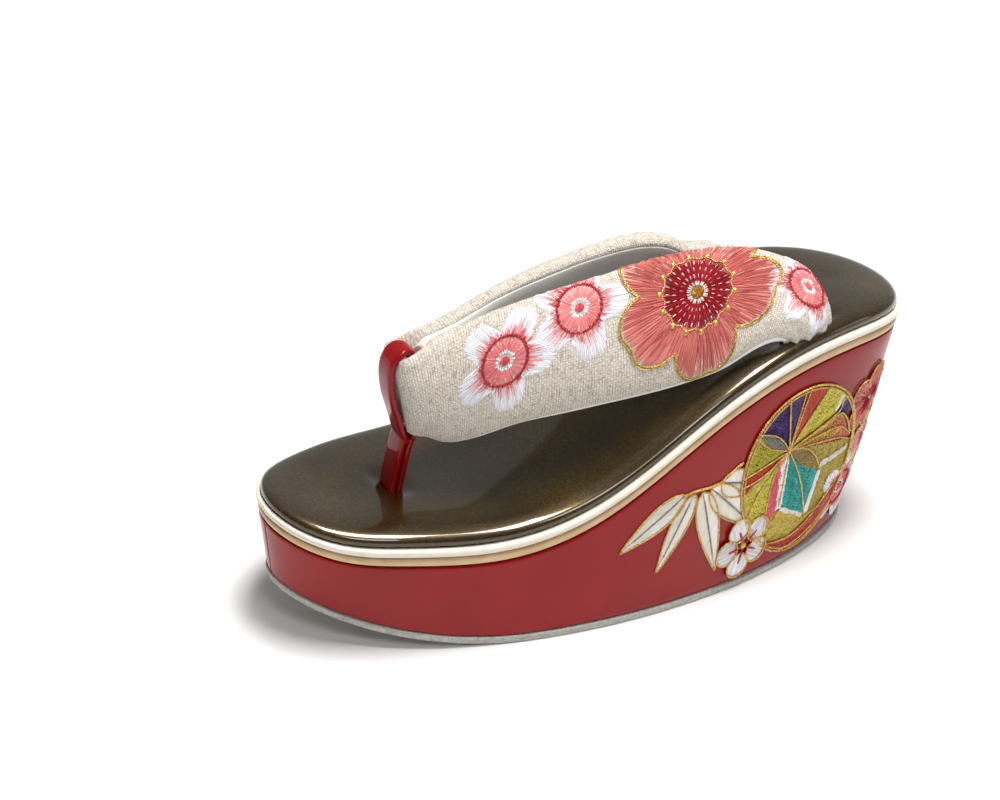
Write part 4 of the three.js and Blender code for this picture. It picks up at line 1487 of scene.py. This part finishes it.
# %% Fields and joints
# Columns: thread, slant of the stitches in degrees, corners (s, t). Later fields lie over
# earlier ones, a little higher.
FIELDS = (
    (OLD_GOLD, 20, (POLE, (36, 43), (25, 38), (33, 22), (44, 16), (60, 12), (52, 36))),
    (OLD_GOLD, 65, ((74, 24), (68, 26), (53, 18), (44, 18), (60, 9), (76, 11))),
    (SILK["purple"], 40, (POLE, (88, 63), (80, 78), (76, 76))),
    (SILK["purple"], 70, (POLE, (76, 76), (67.5, 78))),
    (SILK["vermilion"], 80, (POLE, (65.5, 78), (53, 76))),
    (LIME_GOLD, 60, (POLE, (53, 76), (40, 70), (40, 61), (47, 61), (49, 57.5))),
    (SILK["purple"], 60, ((46.5, 62), (42, 70), (36, 58), (40.5, 54), (48, 57.5))),
    (SILK["white"], 70, ((48.5, 58), (44.5, 64), (47, 66), (50, 60))),
    (GOLD, 30, (POLE, (49, 57.5), (44, 56.5), (40, 52), (36, 45))),
    (SILK["pink_red"], 30, (POLE, (48, 48), (36, 46.5), (34, 43.5))),
    (LIME_GOLD, 15, (POLE, (90, 45), (94, 54), (86, 61))),
    (SILK["vermilion"], 30, (POLE, (89, 37), (93, 40), (90, 45))),
    (LIME_GOLD, 75, (POLE, (75, 40), (74.5, 18), (84, 20), (92, 32), (88, 37))),
    (SILK["pink_red"], 80, (POLE, (71.5, 44), (69.5, 26), (74.5, 20), (75.5, 40))),
    (SILK["white"], 75, (POLE, (72.6, 45), (70, 26), (67, 26.5), (68.6, 47))),
    (SILK["teal"], 35, ((69, 48.5), (61, 41.5), (50.5, 35.7), (53, 19), (67.5, 27))),
    (SILK["white"], 85, ((50.8, 36), (48.6, 35.5), (50.8, 18), (53, 19))),
    (SILK["cream"], 25, ((67.6, 27.2), (53, 19.2), (53.2, 17.6), (68.2, 25.6))),
    (SILK["cream"], 5, ((50.5, 39), (50.5, 36.4), (34, 37.6), (34, 40))),
    (SILK["brown"], 30, (POLE, (64, 49.5), (57, 45.5), (51.5, 38), (56, 38.6), (61, 41.3),
                         (66, 46))),
    (SILK["grey"], 35, (POLE, (75, 56), (81, 60), (86, 61.5), (83.5, 58), (77, 53))),
    (SILK["vermilion"], 25, ((74, 14), (61, 12), (51, 14.5), (42, 21), (34, 27), (26, 8), (60, 0),
                             (76, 4))),
)
JOINTS = (
    (POLE, (77, 58), (86, 61.5)), (POLE, (78, 53.5), (83.5, 57), (87, 61)), (POLE, (76, 76)),
    (POLE, (67.5, 78)), (POLE, (65, 78)), (POLE, (53.5, 75)),
    (POLE, (49, 57.5), (46.5, 61.5), (42, 67)),
    (POLE, (50, 56.5), (44, 56.3), (40, 52), (36, 45)), (POLE, (50, 52), (42, 50), (37, 46)),
    (POLE, (48, 47.5), (36, 43)), (POLE, (64, 49.5), (57, 45.5), (51.5, 38.5), (50, 36)),
    (POLE, (60, 35), (53, 19)), (POLE, (90, 45)), (POLE, (89, 37)), (POLE, (80, 44), (92, 41)),
    (POLE, (75.3, 40), (74.5, 18)), (POLE, (82, 35), (84, 20)), (POLE, (69, 28)),
    ((74, 14), (61, 12), (51, 14.5), (42, 21), (36, 26)), ((70, 9.5), (58, 8), (46, 11), (36, 17)),
    ((68.8, 25), (76, 16)), ((53, 17.5), (44, 18.5)),
)

# %% [markdown]
# The fields are sewn in their order, each a hair higher than the last. The cords follow, then
# three rows of pink dashes in the gold field towards the heel, and the ball's double gold edge.

# %% Thread ball
BALL_REST, LEVEL_STEP, CORD_REST = 0.3, 0.02, 0.95


def eased(path, count=40):
    """A smooth line through a path's points."""
    path = np.array(path, float)
    if len(path) == 2:
        return path[0] + np.linspace(0, 1, count)[:, None] * (path[1] - path[0])
    return spline(range(len(path)), path)(np.linspace(0, len(path) - 1, count))


ball = []
for level, (thread, slant, corners) in enumerate(FIELDS):
    base = BALL_REST + LEVEL_STEP * level
    ball.append((thread, filled(on_wall, corners, slant, 0.5, 5, in_ball, 0.32, base)))
for path in JOINTS:
    line = eased(path)
    line = line[in_ball(line, 0.5)]
    ball.append((GOLD, couched(on_wall, line, 0.34, closed=False, lift=CORD_REST)))
for row in np.linspace(0.25, 0.75, 3):
    fan = eased(((48 + row, 57 - 5 * row), (43, 54.5 - 6 * row), (38.5, 47 - 2 * row)))
    ball.append((SILK["pink_red"], laid(on_wall, fan[:-4:4], fan[4::4], 0.6, 0.4, 0.6)))
ball.append((GOLD, couched(on_wall, ball_edge(0.2), 0.5, lift=0.7)))
ball.append((GOLD, couched(on_wall, ball_edge(-0.9), 0.36, lift=0.9)))
sew("thread_ball", "wedge", *ball)

# %% [markdown]
# ## Plum and pink blossoms on the wedge
# A white plum blossom overlaps the ball. Its five petals are discs of satin stitch with a gold
# outline, and a deep-red stamen runs into each. Two pink blossoms, each in one silk, follow
# round the heel, with dark rays from the middle.

# %% Plum and pink blossoms
def plum(middle, reach, lobe, phase):
    """A five-lobed blossom outlined in gold."""
    work, base = [], 0.75
    for k in range(PETALS):
        angle = np.array(phase + k * 2 * math.pi / PETALS)
        heart = polar(middle, reach, angle)
        edge = heart + lobe * np.stack([np.cos(circle[::6]), np.sin(circle[::6])], -1)
        work.append((SILK["white"], filled(on_wall, edge, math.degrees(angle), 0.5, 9, None, 0.4,
                                           base)))
        work.append((GOLD, couched(on_wall, edge, 0.34, lift=base + 0.35)))
        stamen = polar(middle, 1, angle), polar(middle, reach * 0.95, angle)
        work.append((SILK["deep_red"], laid(on_wall, *stamen, 1.1, 0.6, base + 0.3)))
    work.append((GOLD, knots(on_wall, middle, 1.5)))
    return work


NOTCH = 0.3


def pink_bloom(middle, size, phase, petal, heart):
    """A five-petalled blossom in one silk, with dark rays from its middle and a gold edge."""
    def edge(angle):
        part = (angle - phase) * PETALS / (2 * math.pi)
        return size * (1 - NOTCH * np.abs(2 * (part - np.round(part))) ** 2.5)

    spots = phase + np.arange(PETALS) * 2 * math.pi / PETALS
    return [
        (SILK[petal], rays(on_wall, middle, share_of(edge, 0.1, 0.2), share_of(edge, 0.6, 0.8), 90,
                           size * 0.05, 0.35, 0.55)),
        (SILK[petal], rays(on_wall, middle, share_of(edge, 0.45, 0.6), share_of(edge, 0.99), 120,
                           size * 0.05, 0.35, 0.55)),
        (SILK[heart], rays(on_wall, middle, 0.8, share_of(edge, 0.35, 0.6), 34, 0.55, 0.4, 0.8)),
        (GOLD, couched(on_wall, polar(middle, edge(circle) + 0.2, circle), 0.36, lift=0.8)),
        (GOLD, knots(on_wall, polar(middle, size * 0.2, spots), 0.7)),
        (GOLD, knots(on_wall, middle, 1.1)),
    ]


print("a pink blossom's notches are", NOTCH, "of its radius")

# %% [markdown]
# The blossoms are now placed round the heel. The last one is the strap's small blossom again,
# raised by the stitches that it overlaps, and a gold sprig runs through them all.

# %% Blossoms on the wedge
RAISED = 0.55
sew("white_plum", "wedge", *plum((83.2, 17), 7.6, 4.7, math.radians(64)))
sew("pink_bloom_upper", "wedge", *pink_bloom((27, 56), 13, 0.5, "coral", "crimson"))
sew("pink_bloom_middle", "wedge", *pink_bloom((20, 38), 10.5, 0.2, "blush", "pink_red"))


def on_wall_raised(spots, lift=0.0):
    """The wall with other stitches under the work."""
    return on_wall(spots, np.asarray(lift) + RAISED)


sew("small_blossom_7", "wedge", *blossom(on_wall_raised, (30.5, 20.5), 14.5, 0.6))
sprig = eased(((25, 68), (22, 62), (16, 50), (13, 36), (15, 22)))
sew("gold_sprig", "wedge", (GOLD, couched(on_wall, sprig, 0.5, closed=False)))

# %% [markdown]
# ## Paper
# The sandal stands on white paper, as goods in a shop's window do. Far from the sandal the paper
# glows with painted light, an emission that keeps it white to the horizon.

# %% Paper floor
PAPER_SIZE, GLOW_FROM, GLOW_TO, GLOW_STRENGTH = 24, 0.8, 2.6, 0.8
paper_finish, paper_tree, paper_shader = finish("white_paper", Roughness=0.8)
paper_shader.inputs["Base Color"].default_value = linear("#f2f1f0")
paper_shader.inputs["Emission Color"].default_value = (1, 1, 1, 1)
place = add(paper_tree, "ShaderNodeTexCoord").outputs["Object"]
away = add(paper_tree, "ShaderNodeVectorMath", {"operation": "LENGTH"}, i0=place)
# Painted light: the paper glows more the further it is from the sandal.
painted_paper_glow = add(paper_tree, "ShaderNodeMapRange", Value=away.outputs["Value"], i1=GLOW_FROM,
            i2=GLOW_TO, i3=0.0, i4=GLOW_STRENGTH)
paper_tree.links.new(painted_paper_glow.outputs[0], paper_shader.inputs["Emission Strength"])
bpy.ops.object.select_all(action="DESELECT")
bpy.ops.mesh.primitive_plane_add(size=PAPER_SIZE)
paper = bpy.context.object
paper.name = "paper_floor"
paper.data.materials.append(paper_finish)
print("paper:", PAPER_SIZE, "m wide")

# %% [markdown]
# ## Light and the world
# Three softboxes light the sandal: a strong one overhead, and weak ones beside the toe and
# towards the heel. The world is a dim grey that grows softly brighter behind the sandal, so
# that the patent leather mirrors a gentle glow and stays deep in colour.

# %% Light and world
def soft_light(name, place, size, watts):
    """A rectangular area light of a size in metres, turned to the sandal."""
    bpy.ops.object.light_add(type="AREA", location=place)
    lamp = bpy.context.object
    lamp.name = name
    lamp.data.shape, lamp.data.size, lamp.data.size_y = "RECTANGLE", size[0], size[1]
    lamp.data.energy = watts
    lamp.visible_camera = False
    lamp.rotation_euler = (AIM - Vector(place)).to_track_quat("-Z", "Y").to_euler()


soft_light("top_softbox", (-0.1, 0.05, 1.5), (0.65, 0.45), 26)
soft_light("side_softbox", (0.3, 1.1, 1.4), (0.5, 0.5), 6)
soft_light("heel_softbox", (-1.4, 0.7, 0.6), (0.6, 0.6), 1.4)
GLOW_DIRECTION, DIM, BRIGHT = (-0.3, -0.8, 0.52), 0.15, 0.36
world = bpy.data.worlds.new("pale_studio")
world.use_nodes = True
sky = world.node_tree
bearing = add(sky, "ShaderNodeTexCoord").outputs["Generated"]
towards_glow = add(sky, "ShaderNodeVectorMath", {"operation": "DOT_PRODUCT"}, i0=bearing,
                   i1=GLOW_DIRECTION)
glow = add(sky, "ShaderNodeMapRange", {"interpolation_type": "SMOOTHSTEP"},
           i0=towards_glow.outputs["Value"], i1=0.2, i2=1.0, i3=DIM, i4=BRIGHT)
sky.nodes["Background"].inputs["Color"].default_value = (1, 1, 1, 1)
sky.links.new(glow.outputs[0], sky.nodes["Background"].inputs["Strength"])
bpy.context.scene.world = world
bpy.context.scene.view_settings.view_transform = "Standard"
